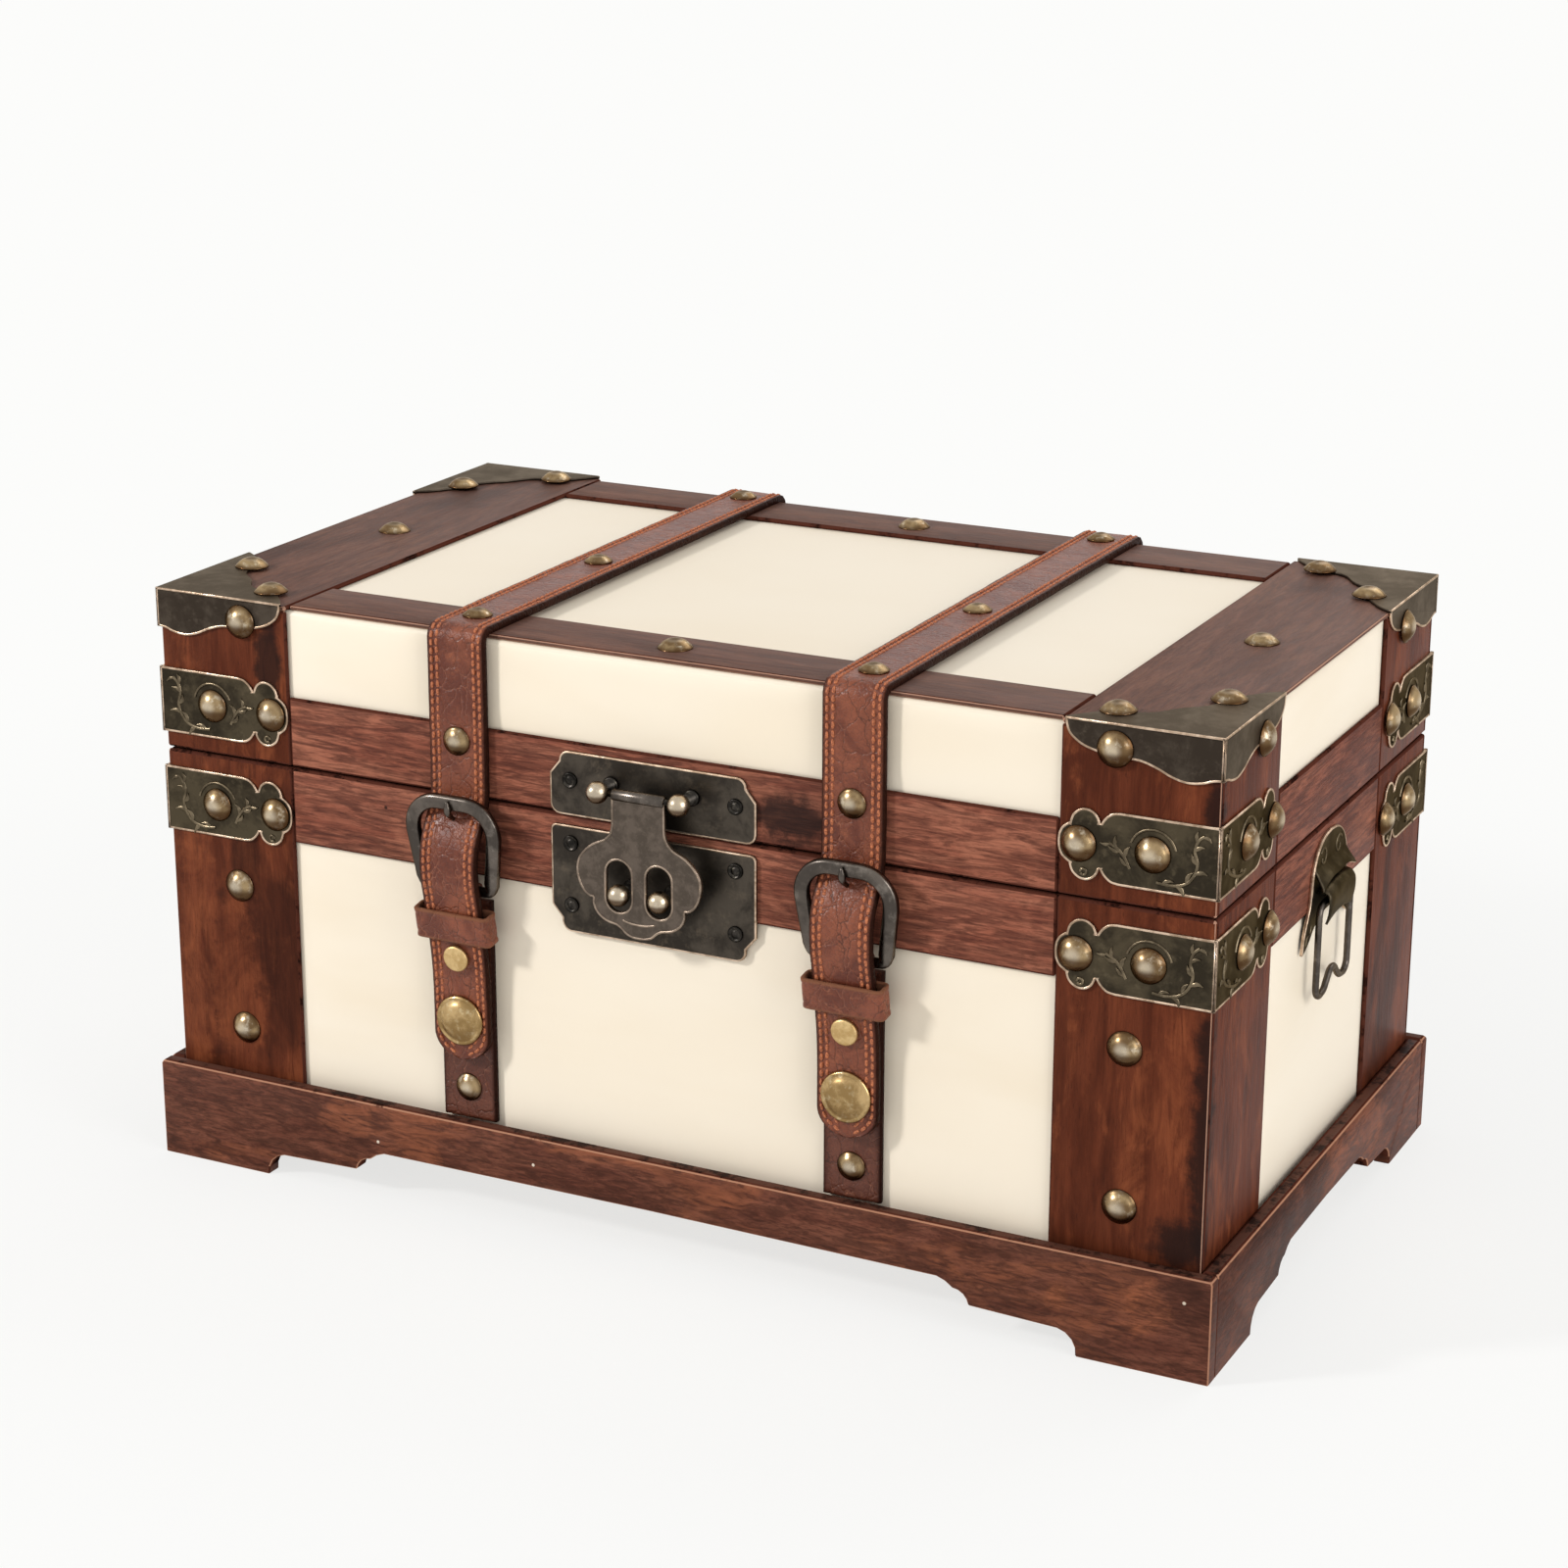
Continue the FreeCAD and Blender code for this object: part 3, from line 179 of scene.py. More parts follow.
class Shade(NodeSet):
    """Builder of one material."""

    def __init__(self, name: str) -> None:
        """Start a material with a Principled shader.

        Args:
            name: Name of the material.
        """
        self.material = bpy.data.materials.new(name)
        self.material.use_nodes = True
        super().__init__(self.material.node_tree)
        self.shader = self.node("ShaderNodeBsdfPrincipled")
        self.output = self.node("ShaderNodeOutputMaterial", {"Surface": self.shader.outputs["BSDF"]})
        self.coordinates = self.node("ShaderNodeTexCoord").outputs["Object"]

    def surface(self, colour: object, rough: object, normal: Socket, shine: object = 0.5) -> Material:
        """Set what the shader shows.

        Args:
            colour: Its colour.
            rough: Its roughness.
            normal: Its normal.
            shine: Its specular level.

        Returns:
            The finished material.
        """
        inputs = self.shader.inputs
        self.put(inputs["Base Color"], colour)
        self.put(inputs["Roughness"], rough)
        self.put(inputs["Normal"], normal)
        self.put(inputs["Specular IOR Level"], shine)
        return self.material

    def maths(self, operation: str, *inputs: object) -> Socket:
        """Combine numbers."""
        return self.node("ShaderNodeMath", dict(enumerate(inputs)), operation=operation).outputs["Value"]

    def vectors(self, operation: str, *inputs: object) -> bpy.types.NodeOutputs:
        """Combine vectors. The result is under Vector, or under Value where it is a number."""
        return self.node("ShaderNodeVectorMath", dict(enumerate(inputs)), operation=operation).outputs

    def scaled(self, value: Socket, by: float, plus: float = 0.0) -> Socket:
        """Multiply a value and add to it."""
        return self.maths("MULTIPLY_ADD", value, by, plus)

    def ramp(self, value: Socket, low: float, high: float) -> Socket:
        """Stretch a range over 0 to 1.

        Args:
            value: The input.
            low: Input that gives 0.
            high: Input that gives 1. It may be the smaller of the two.

        Returns:
            The clamped result.
        """
        flip = high < low
        return self.node("ShaderNodeMapRange", {
            "From Min": high if flip else low, "From Max": low if flip else high,
            "To Min": 1.0 if flip else 0.0, "To Max": 0.0 if flip else 1.0, "Value": value,
        }, interpolation_type="SMOOTHSTEP").outputs["Result"]

    def blend(self, share: object, one: object, two: object) -> Socket:
        """Mix two colours. The share is that of the second."""
        mix = self.node("ShaderNodeMix", {"Factor": share, 6: one, 7: two}, data_type="RGBA")
        return mix.outputs[2]

    def tinted(self, colour: object, mark: Socket, share: float, tone: Rgb) -> Socket:
        """Lay a share of a tone over a colour where a mark is."""
        return self.blend(self.scaled(mark, share), colour, srgb(tone))

    def attribute(self, name: str) -> Socket:
        """Read a number that the mesh carries."""
        return self.node("ShaderNodeAttribute", attribute_name=name).outputs["Fac"]

    def bump(self, height: Socket, strength: float, depth: float, under: Socket | None = None) -> Socket:
        """Turn a height into a normal.

        Args:
            height: The height, 0 to 1.
            strength: Share of the effect.
            depth: Real depth in millimetres.
            under: A normal from another bump.

        Returns:
            The normal.
        """
        inputs = {"Strength": strength, "Distance": depth * MM, "Height": height}
        return self.node("ShaderNodeBump", inputs | ({"Normal": under} if under else {})).outputs["Normal"]

    def stretched(self, scale: Vector | float) -> Socket:
        """Object coordinates scaled to cycles per metre, by one number or one for each axis."""
        scale = Vector((scale,) * 3) if isinstance(scale, (int, float)) else scale
        return self.node("ShaderNodeMapping", {"Scale": scale, "Vector": self.coordinates}).outputs["Vector"]

    def noise(
        self, scale: Vector | float, detail: float = 4.0, rough: float = 0.55, warp: float = 0.0
    ) -> Socket:
        """Fractal noise.

        Args:
            scale: Cycles per metre, one number or one for each axis.
            detail: Octaves of the noise.
            rough: Share that each octave keeps.
            warp: Distortion.

        Returns:
            The noise, about 0.5 in the middle.
        """
        return self.node("ShaderNodeTexNoise", {
            "Vector": self.stretched(scale), "Scale": 1.0, "Detail": detail, "Roughness": rough,
            "Distortion": warp,
        }).outputs["Fac"]

    def cells(self, scale: Vector | float, warp: float) -> Socket:
        """Distance to the edge of irregular cells, as creased leather shows.

        Args:
            scale: Cells per metre.
            warp: How far noise bends the cell edges, in cells.

        Returns:
            The distance, 0 on an edge.
        """
        vector = self.stretched(scale)
        wave = self.node("ShaderNodeTexNoise", {"Vector": vector, "Scale": 0.9, "Detail": 3.0})
        bent = self.vectors("MULTIPLY_ADD", wave.outputs["Color"], (warp,) * 3, vector)["Vector"]
        inputs = {"Scale": 1.0, "Vector": bent}
        return self.node("ShaderNodeTexVoronoi", inputs, feature="DISTANCE_TO_EDGE").outputs["Distance"]

    def dots(self, pitch: float, radius: float, keep: float) -> Socket:
        """Scattered round dots, such as worm holes.

        Args:
            pitch: Typical distance between places for a dot, in millimetres.
            radius: Radius of the largest dot, in millimetres.
            keep: Share of the places that have a dot.

        Returns:
            1 in a dot, 0 outside.
        """
        places = self.stretched(1 / (pitch * MM))
        cells = self.node("ShaderNodeTexVoronoi", {"Scale": 1.0, "Vector": places}).outputs
        inside = self.ramp(cells["Distance"], radius / pitch, radius / pitch * 0.6)
        return self.maths("MULTIPLY", inside, self.ramp(cells["Color"], 1.0 - keep, 1.02 - keep))

    def stain(self, place: Point3, size: Point3) -> Socket:
        """A stain with a ragged edge round one place.

        Args:
            place: Its middle, in millimetres about the middle of the trunk's box.
            size: Its reach along each axis, in millimetres.

        Returns:
            1 in the stain, 0 outside.
        """
        away = self.vectors("SUBTRACT", self.coordinates, spot(*place))["Vector"]
        away = self.vectors("MULTIPLY", away, [1.0 / (reach * MM) for reach in size])["Vector"]
        ragged = self.scaled(self.noise(130.0, 6.0, 0.7), 1.7, -0.85)
        return self.ramp(self.maths("ADD", self.vectors("LENGTH", away)["Value"], ragged), 1.15, 0.5)

    def lean(self, way: Point3) -> Socket:
        """How far the surface faces one way: 1 where it faces it, -1 where it faces away."""
        facing = self.node("ShaderNodeTexCoord").outputs["Normal"]
        return self.vectors("DOT_PRODUCT", facing, way)["Value"]

    def by_board(self) -> Socket:
        """Move the pattern for each board.

        Returns:
            The board's own number, 0 to 1.
        """
        tone = self.attribute("board")
        inputs = {0: (3.1, 5.3, 7.7), "Scale": tone}
        move = self.node("ShaderNodeVectorMath", inputs, operation="SCALE").outputs["Vector"]
        self.coordinates = self.vectors("ADD", self.coordinates, move)["Vector"]
        return tone


class Grain(Enum):
    """Which way the wood's grain runs: 1 for each axis along which the pattern is long."""

    UPRIGHT = (0, 0, 1)
    LEVEL = (1, 1, 0)
    ALONG_X = (1, 0, 0)
    ALONG_Y = (0, 1, 0)


@dataclass(frozen=True)
class WoodFinish:
    """Stained wood with grain, pores, dark patches, rubbed places, worm holes and painted side shade."""

    name: str
    base: Rgb
    light: Rgb
    dark: Rgb
    worn: Rgb
    patch: float = 0.5
    wear: float = 0.35
    gloss: float = 0.42
    flecks: float = 0.4
    fibre: float = 0.3
    cloud: float = 22.0
    long: float = 12.0
    stains: tuple[tuple[Point3, Point3], ...] = ()
    rubs: tuple[tuple[Point3, Point3], ...] = ()
    flank: float = 0.0
    shine: float = 0.14

    def make(self, grain: Grain) -> Material:
        """Build the material.

        Args:
            grain: Direction of the grain.

        Returns:
            The material.
        """
        shade = Shade(f"{self.name}_{grain.name.lower()}")
        marks = [shade.stain(*stain) for stain in self.stains]
        glows = [shade.stain(*rub) for rub in self.rubs]
        board = shade.by_board()
        way = Vector([1.0 / self.long if slow else 1.0 for slow in grain.value])
        loose = Vector([0.45 if slow else 1.0 for slow in grain.value])
        fibres = shade.noise(way * 980, 5.0, 0.65, 0.9)
        waves = shade.noise(way * 330, 5.0, 0.62, 1.6)
        streaks = shade.noise(way * 110, 6.0, 0.6, 1.2)
        clouds = shade.noise(loose * self.cloud, 5.0, 0.6, 0.7)
        blotches = shade.noise(loose * self.cloud * 2.3, 6.0, 0.65, 1.0)
        pores = shade.noise(way * 2200 + Vector((26, 26, 26)), 2.0, 0.5)
        colour = shade.blend(shade.ramp(streaks, 0.34, 0.66), srgb(self.base), srgb(self.light))
        for glow in glows:
            worn = shade.maths("MULTIPLY", glow, shade.ramp(blotches, 0.3, 0.6))
            colour = shade.tinted(colour, worn, 0.6, self.worn)
        for mark, low, high, share in (
            (waves, 0.6, 0.4, self.flecks), (fibres, 0.6, 0.36, self.fibre), (pores, 0.64, 0.73, 0.4),
        ):
            colour = shade.tinted(colour, shade.ramp(mark, low, high), share, self.dark)
        rubbed = shade.maths("MULTIPLY", shade.ramp(blotches, 0.48, 0.66), shade.ramp(waves, 0.3, 0.62))
        colour = shade.tinted(colour, rubbed, self.wear, self.worn)
        patches = shade.ramp(shade.maths("ADD", clouds, shade.scaled(board, 0.08, -0.04)), 0.5, 0.68)
        for glow in glows:
            patches = shade.maths("SUBTRACT", patches, shade.scaled(glow, 0.8))
        colour = shade.tinted(colour, patches, self.patch, self.dark)
        # Painted shade: faces that look along X, the trunk's ends, are darkened.
        if self.flank:
            flank = shade.maths("MAXIMUM", shade.lean((1.0, 0.0, 0.0)), shade.lean((-1.0, 0.0, 0.0)))
            colour = shade.tinted(colour, shade.ramp(flank, 0.6, 0.9), self.flank, self.dark)
        for mark in marks:
            colour = shade.tinted(colour, mark, 0.86, (34, 21, 18))
        holes = shade.dots(17.0, 0.8, 0.22)
        colour = shade.tinted(colour, holes, 0.85, (24, 12, 10))
        height = shade.maths("ADD", fibres, shade.scaled(waves, 1.3))
        height = shade.maths("SUBTRACT", height, shade.scaled(holes, 1.2))
        normal = shade.bump(height, 0.2 + self.fibre + self.flecks * 0.5, 0.24)
        rough = shade.scaled(waves, 0.22, self.gloss - 0.06)
        return shade.surface(colour, rough, shade.bump(pores, 0.25, 0.1, normal), self.shine)


@dataclass(frozen=True)
class EdgeFinish:
    """Edge of stained wood: pale where rubbed, and dark elsewhere."""

    name: str
    pale: Rgb
    dark: Rgb
    share: float = 0.45
    shine: float = 0.03

    def make(self) -> Material:
        """Build the material.

        Returns:
            The material.
        """
        shade = Shade(self.name)
        fine = shade.noise(800.0, 3.0, 0.6)
        broken = shade.maths("ADD", shade.noise(95.0, 7.0, 0.72), shade.scaled(fine, 0.25, -0.12))
        rubbed = shade.ramp(broken, 0.7 - self.share, 0.84 - self.share)
        colour = shade.blend(rubbed, srgb(self.dark), srgb(self.pale))
        return shade.surface(colour, 0.5, shade.bump(fine, 0.3, 0.15), self.shine)


@dataclass(frozen=True)
class CoveringFinish:
    """Smooth pale covering, glued over the boards, with a faint skin."""

    name: str
    base: Rgb
    shadow: Rgb
    speck: Rgb = (170, 130, 100)

    def make(self) -> Material:
        """Build the material.

        Returns:
            The material.
        """
        shade = Shade(self.name)
        clouds = shade.noise(Vector((7.0, 7.0, 26.0)), 3.0, 0.5, 0.4)
        skin = shade.noise(1400.0, 3.0, 0.6)
        swell = shade.noise(Vector((14.0, 14.0, 30.0)), 2.0, 0.5)
        colour = shade.blend(shade.ramp(clouds, 0.35, 0.75), srgb(self.base), srgb(self.shadow))
        colour = shade.tinted(colour, shade.dots(30.0, 0.35, 0.12), 0.35, self.speck)
        normal = shade.bump(skin, 0.12, 0.05, shade.bump(swell, 0.3, 0.8))
        return shade.surface(colour, shade.scaled(skin, 0.12, 0.4), normal, 0.35)


@dataclass(frozen=True)
class LeatherFinish:
    """Creased brown leather whose edges are dark."""

    name: str
    base: Rgb
    light: Rgb
    crack: Rgb
    edge: Rgb
    rubbed: Rgb = (158, 92, 62)
    split: Rgb = (176, 114, 86)

    def make(self) -> Material:
        """Build the material.

        Returns:
            The material.
        """
        shade = Shade(self.name)
        creases = shade.cells(Vector((170.0, 170.0, 115.0)), 1.6)
        crackle = shade.cells(620.0, 1.1)
        clouds = shade.noise(55.0, 5.0, 0.62, 0.7)
        rubs = shade.noise(230.0, 5.0, 0.7, 0.6)
        pores = shade.noise(2600.0, 2.0, 0.5)
        edge = shade.attribute("edge")
        faint = shade.scaled(shade.ramp(clouds, 0.4, 0.6), 0.7)
        lines = shade.maths("MULTIPLY", shade.ramp(creases, 0.035, 0.0), faint)
        splits = shade.maths("MULTIPLY", shade.ramp(creases, 0.02, 0.0), shade.ramp(clouds, 0.56, 0.44))
        colour = shade.blend(shade.ramp(clouds, 0.36, 0.66), srgb(self.base), srgb(self.light))
        for mark, share, tone in (
            (shade.ramp(rubs, 0.55, 0.72), 0.5, self.rubbed),
            (shade.ramp(crackle, 0.07, 0.0), 0.3, self.crack),
            (lines, 1.0, self.crack), (splits, 0.45, self.split), (edge, 0.9, self.edge),
        ):
            colour = shade.tinted(colour, mark, share, tone)
        normal = shade.bump(shade.ramp(creases, 0.0, 0.1), 0.6, 0.3)
        normal = shade.bump(shade.ramp(crackle, 0.0, 0.16), 0.5, 0.12, normal)
        normal = shade.bump(pores, 0.2, 0.05, normal)
        return shade.surface(colour, shade.scaled(rubs, 0.3, 0.2), normal, shade.scaled(edge, -0.28, 0.3))


@dataclass(frozen=True)
class ThreadFinish:
    """Waxed thread."""

    name: str
    base: Rgb
    dark: Rgb

    def make(self) -> Material:
        """Build the material.

        Returns:
            The material.
        """
        shade = Shade(self.name)
        twist = shade.noise(1800.0, 3.0, 0.6)
        colour = shade.blend(shade.ramp(twist, 0.35, 0.65), srgb(self.dark), srgb(self.base))
        return shade.surface(colour, 0.65, shade.bump(twist, 0.5, 0.1))


@dataclass(frozen=True)
class MetalFinish:
    """Aged metal with mottling in colour and gloss, with painted shade and a painted highlight where set."""

    name: str
    base: Rgb
    dark: Rgb
    light: Rgb
    rough: float = 0.35
    mottle: float = 90.0
    spread: float = 0.5
    pitting: float = 0.25
    # The patina colour darkens a head's rim, and is also the colour of the painted shade that tone lays on.
    patina_and_shade: Rgb = (84, 60, 36)
    tone: float = 0.0
    graze: float = 0.3
    # Share of a painted highlight, partly polish, on the middle of each dome.
    crown: float = 0.0

    def make(self) -> Material:
        """Build the material.

        Returns:
            The material.
        """
        shade = Shade(self.name)
        clouds = shade.noise(self.mottle, 6.0, 0.65, 0.3)
        grains = shade.noise(1500.0, 3.0, 0.6)
        rubs = shade.noise(self.mottle * 3.3, 5.0, 0.7)
        reach = shade.attribute("reach")
        colour = shade.blend(shade.ramp(clouds, 0.4, 0.62), srgb(self.dark), srgb(self.base))
        colour = shade.tinted(colour, shade.ramp(rubs, 0.52, 0.72), self.spread, self.light)
        colour = shade.tinted(colour, shade.ramp(reach, 0.72, 1.0), 0.85, self.patina_and_shade)
        # Painted highlight, partly polish: the middle of a dome is lightened.
        if self.crown:
            colour = shade.tinted(colour, shade.ramp(reach, 0.6, 0.15), self.crown, self.light)
        # Painted shade: faces that look down, and faces that look straight up, take the patina colour.
        if self.tone:
            under = shade.ramp(shade.lean((0.0, 0.0, -1.0)), -0.06, 0.32)
            painted_top_shade = shade.ramp(shade.lean((0.0, 0.0, 1.0)), 0.9, 0.99)
            colour = shade.tinted(colour, shade.maths("MAXIMUM", under, painted_top_shade), self.tone, self.patina_and_shade)
        tint = self.graze
        shade.shader.inputs["Specular Tint"].default_value = (tint, tint * 0.9, tint * 0.78, 1.0)
        shade.shader.inputs["Metallic"].default_value = 1.0
        normal = shade.bump(rubs, self.pitting * 0.6, 0.12, shade.bump(grains, self.pitting, 0.06))
        return shade.surface(colour, shade.scaled(clouds, -0.25, self.rough + 0.13), normal)


@dataclass(frozen=True)
class Palette:
    """Every finish of the trunk."""

    post: WoodFinish = WoodFinish(
        "post_wood", (80, 37, 22), (106, 53, 33), (36, 18, 13), (138, 75, 46), 0.62, 0.55, 0.36, 0.14, 0.12,
        26.0, 9.0,
        stains=(
            ((195, -110, 84), (7.5, 7, 62)), ((188, -110, 43), (12, 7, 10)), ((195, -110, 186), (7, 7, 16)),
            ((-150, -110, 190), (6, 8, 22)),
        ),
        rubs=(
            ((-185, -110, 84), (9, 8, 54)), ((-171, -110, 70), (15, 8, 40)), ((169, -110, 60), (6, 7, 18)),
            ((-184, -110, 176), (10, 8, 16)),
        ), shine=0.05,
    )
    # The rails get painted shade on their X-facing sides.
    rail: WoodFinish = WoodFinish(
        "rail_wood", (142, 81, 62), (166, 104, 81), (66, 33, 26), (182, 116, 90), 0.45, 0.5, 0.5, 0.6, 0.6,
        20.0, 9.0, stains=(((50, -110, 163.5), (16, 8, 9)),), flank=0.3, shine=0.1,
    )
    top: WoodFinish = WoodFinish(
        "top_wood", (96, 64, 52), (118, 82, 68), (56, 36, 30), (128, 90, 70), 0.6, 0.35, 0.5, 0.35, 0.3,
        20.0, 8.0,
    )
    plinth: WoodFinish = WoodFinish(
        "plinth_wood", (103, 60, 47), (126, 78, 61), (48, 28, 22), (158, 94, 64), 0.8, 0.5, 0.42, 0.5, 0.45,
        17.0, 5.0, rubs=(((178, -113, 22), (9, 8, 12)), ((148, -113, 20), (6, 8, 5))), shine=0.05,
    )
    board: WoodFinish = WoodFinish(
        "board_wood", (172, 132, 92), (196, 158, 116), (128, 92, 60), (205, 172, 132), 0.3, 0.2, 0.6, 0.35,
        0.3, 12.0, 16.0,
    )
    wood_edge: EdgeFinish = EdgeFinish("rubbed_wood_edge", (176, 134, 112), (70, 38, 28), 0.48)
    # Dark joints, and painted shade on the faces in the gap between box and lid.
    seam: EdgeFinish = EdgeFinish("dark_wood_edge", (82, 45, 35), (36, 19, 15), 0.34, 0.0)
    ledge: EdgeFinish = EdgeFinish("plinth_ledge", (88, 56, 45), (40, 24, 19), 0.3)
    plinth_edge: EdgeFinish = EdgeFinish("rubbed_plinth_edge", (172, 124, 98), (90, 54, 41), 0.4)
    covering: CoveringFinish = CoveringFinish("cream_covering", (244, 232, 212), (240, 226, 203))
    pin: CoveringFinish = CoveringFinish("pin_filler", (226, 214, 196), (190, 172, 150))
    leather: LeatherFinish = LeatherFinish(
        "strap_leather", (96, 46, 31), (134, 74, 51), (42, 20, 14), (24, 14, 11)
    )
    low_leather: LeatherFinish = LeatherFinish(
        "lower_strap_leather", (82, 42, 30), (104, 58, 42), (36, 18, 14), (28, 15, 12), (122, 74, 54)
    )
    keeper_leather: LeatherFinish = LeatherFinish(
        "keeper_leather", (98, 48, 32), (134, 74, 52), (42, 20, 14), (128, 86, 64)
    )
    thread: ThreadFinish = ThreadFinish("strap_thread", (198, 116, 72), (134, 72, 44))
    bronze: MetalFinish = MetalFinish(
        "dark_bronze", (80, 71, 56), (52, 46, 37), (110, 98, 78), 0.42, 60.0, 0.4, graze=0.55
    )
    # Painted highlight: the raised vine and curls are a lighter copy of the dark bronze.
    relief: MetalFinish = MetalFinish(
        "raised_bronze", (120, 107, 87), (86, 76, 61), (166, 150, 124), 0.32, 140.0, 0.4, graze=0.55
    )
    cap: MetalFinish = MetalFinish(
        "cap_bronze", (80, 71, 62), (58, 50, 43), (100, 89, 78), 0.44, 60.0, 0.4, graze=0.9
    )
    bronze_edge: MetalFinish = MetalFinish(
        "rubbed_bronze_edge", (216, 190, 166), (160, 136, 114), (238, 220, 200), 0.34, 160.0, graze=0.8
    )
    # Brass heads get painted shade on their lower and upward-facing parts, and a painted highlight on their
    # middles.
    brass: MetalFinish = MetalFinish(
        "antique_brass", (166, 142, 106), (112, 89, 62), (242, 230, 208), 0.26, 95.0, 0.5, 0.08,
        (70, 46, 26), 0.85, 0.85, 0.42,
    )
    # The snap gets painted shade on its lower and upward-facing parts.
    snap: MetalFinish = MetalFinish(
        "snap_brass", (196, 166, 118), (148, 120, 78), (234, 218, 180), 0.26, 110.0, 0.45, 0.15,
        (104, 76, 44), 0.45, 0.8,
    )
    gold: MetalFinish = MetalFinish(
        "matt_gold", (216, 186, 134), (190, 158, 106), (230, 208, 164), 0.46, 220.0, 0.4, 0.3,
        (110, 78, 44), graze=0.7,
    )
    gunmetal: MetalFinish = MetalFinish(
        "gunmetal", (104, 96, 89), (76, 70, 65), (170, 160, 150), 0.28, 60.0, 0.3, 0.1, graze=0.6
    )
    latch: MetalFinish = MetalFinish(
        "latch_bronze", (80, 73, 65), (56, 51, 46), (108, 96, 82), 0.42, 70.0, 0.4, 0.3, graze=0.55
    )
    hasp: MetalFinish = MetalFinish(
        "hasp_bronze", (102, 91, 82), (84, 75, 67), (128, 115, 103), 0.4, 200.0, 0.3, 0.35, graze=0.6
    )
    hasp_edge: MetalFinish = MetalFinish(
        "rubbed_hasp_edge", (160, 142, 126), (118, 104, 92), (190, 172, 154), 0.38, 160.0
    )
    rivet: MetalFinish = MetalFinish(
        "rivet_steel", (62, 58, 54), (36, 34, 32), (120, 112, 98), 0.36, 200.0, 0.4, 0.2, (30, 28, 26)
    )
    steel: MetalFinish = MetalFinish(
        "magnet_steel", (150, 150, 150), (110, 110, 110), (190, 190, 190), 0.3, 100.0, 0.3, 0.1
    )
    made: dict[str, Material] = field(default_factory=dict)

    def get(self, finish: object, grain: Grain | None = None) -> Material:
        """The material of a finish, built at its first use.

        Args:
            finish: One of the palette's finishes.
            grain: Direction of the grain, for wood.

        Returns:
            The material.
        """
        key = finish.name + (f"_{grain.name}" if grain else "")
        if key not in self.made:
            self.made[key] = finish.make(grain) if grain else finish.make()
        return self.made[key]

    def paint(self, *names: str) -> list[Material]:
        """The materials of named finishes that have no grain."""
        return [self.get(getattr(self, name)) for name in names]


# --- Mesh making ---


class Face(Enum):
    """A side of the trunk. A plate is drawn in the plane and rises along its normal."""

    FRONT = ((1, 0, 0), (0, 0, 1))
    REAR = ((-1, 0, 0), (0, 0, 1))
    RIGHT = ((0, 1, 0), (0, 0, 1))
    LEFT = ((0, -1, 0), (0, 0, 1))
    TOP = ((1, 0, 0), (0, 1, 0))

    def at(self, x: float, y: float, z: float) -> Matrix:
        """Matrix from drawn millimetres to place on this side.

        Args:
            x: Place of the drawing's origin, in millimetres.
            y: The same along Y.
            z: The same along Z.

        Returns:
            The matrix, into metres.
        """
        across, up = Vector(self.value[0]), Vector(self.value[1])
        out = across.cross(up)
        turn = Matrix((across, up, out)).transposed().to_4x4()
        return Matrix.Translation(spot(x, y, z)) @ Matrix.Scale(MM, 4) @ turn


def placed(name: str, data: bpy.types.ID) -> Piece:
    """A new object in the scene."""
    piece = bpy.data.objects.new(name, data)
    bpy.context.scene.collection.objects.link(piece)
    return piece


def piece_from(name: str, build: Mesh, smooth: bool = True) -> Piece:
    """Turn a bmesh into an object in the scene.

    Args:
        name: Name of the piece.
        build: The mesh, in metres and in place.
        smooth: Whether all of its faces shade smoothly. If not, each stays as it is.

    Returns:
        The object.
    """
    mesh = bpy.data.meshes.new(name)
    if smooth:
        for side in build.faces:
            side.smooth = True
    build.to_mesh(mesh)
    build.free()
    return placed(name, mesh)


def mark_points(piece: Piece, name: str, values: Sequence[float]) -> None:
    """Give each point of a piece a number that a finish or a tree reads."""
    piece.data.attributes.new(name, "FLOAT", "POINT").data.foreach_set("value", values)


def outward(line: Sequence[Point], index: int, closed: bool = False) -> Vector:
    """Unit vector to the right of a line at one of its points.

    Args:
        line: The line.
        index: Number of the point.
        closed: Whether the line runs back to its start.

    Returns:
        The vector.
    """
    before = line[index - 1] if closed or index else line[0]
    after = line[(index + 1) % len(line)] if closed else line[min(index + 1, len(line) - 1)]
    along = Vector((after[0] - before[0], after[1] - before[1])).normalized()
    return Vector((along.y, -along.x))


def bake_modifiers(piece: Piece) -> Piece:
    """Turn a piece's modifiers into plain mesh.

    Args:
        piece: The piece.

    Returns:
        The same piece.
    """
    graph = bpy.context.evaluated_depsgraph_get()
    mesh = bpy.data.meshes.new_from_object(piece.evaluated_get(graph), depsgraph=graph)
    mesh.name = piece.name
    piece.modifiers.clear()
    piece.data = mesh
    return piece


def soften(piece: Piece, width: float, steps: int = 1) -> None:
    """Round a piece's edges, and give the rounded edges the piece's second finish.

    Args:
        piece: The piece.
        width: Width of the round, in millimetres.
        steps: Segments of the round.
    """
    while len(piece.data.materials) < 2:
        piece.data.materials.append(None)
    bevel = piece.modifiers.new("round", "BEVEL")
    bevel.width = width * MM
    bevel.segments = steps
    bevel.limit_method = "ANGLE"
    bevel.angle_limit = math.radians(25.0)
    bevel.harden_normals = True
    bevel.material = 1
    bevel.use_clamp_overlap = True
    bake_modifiers(piece)


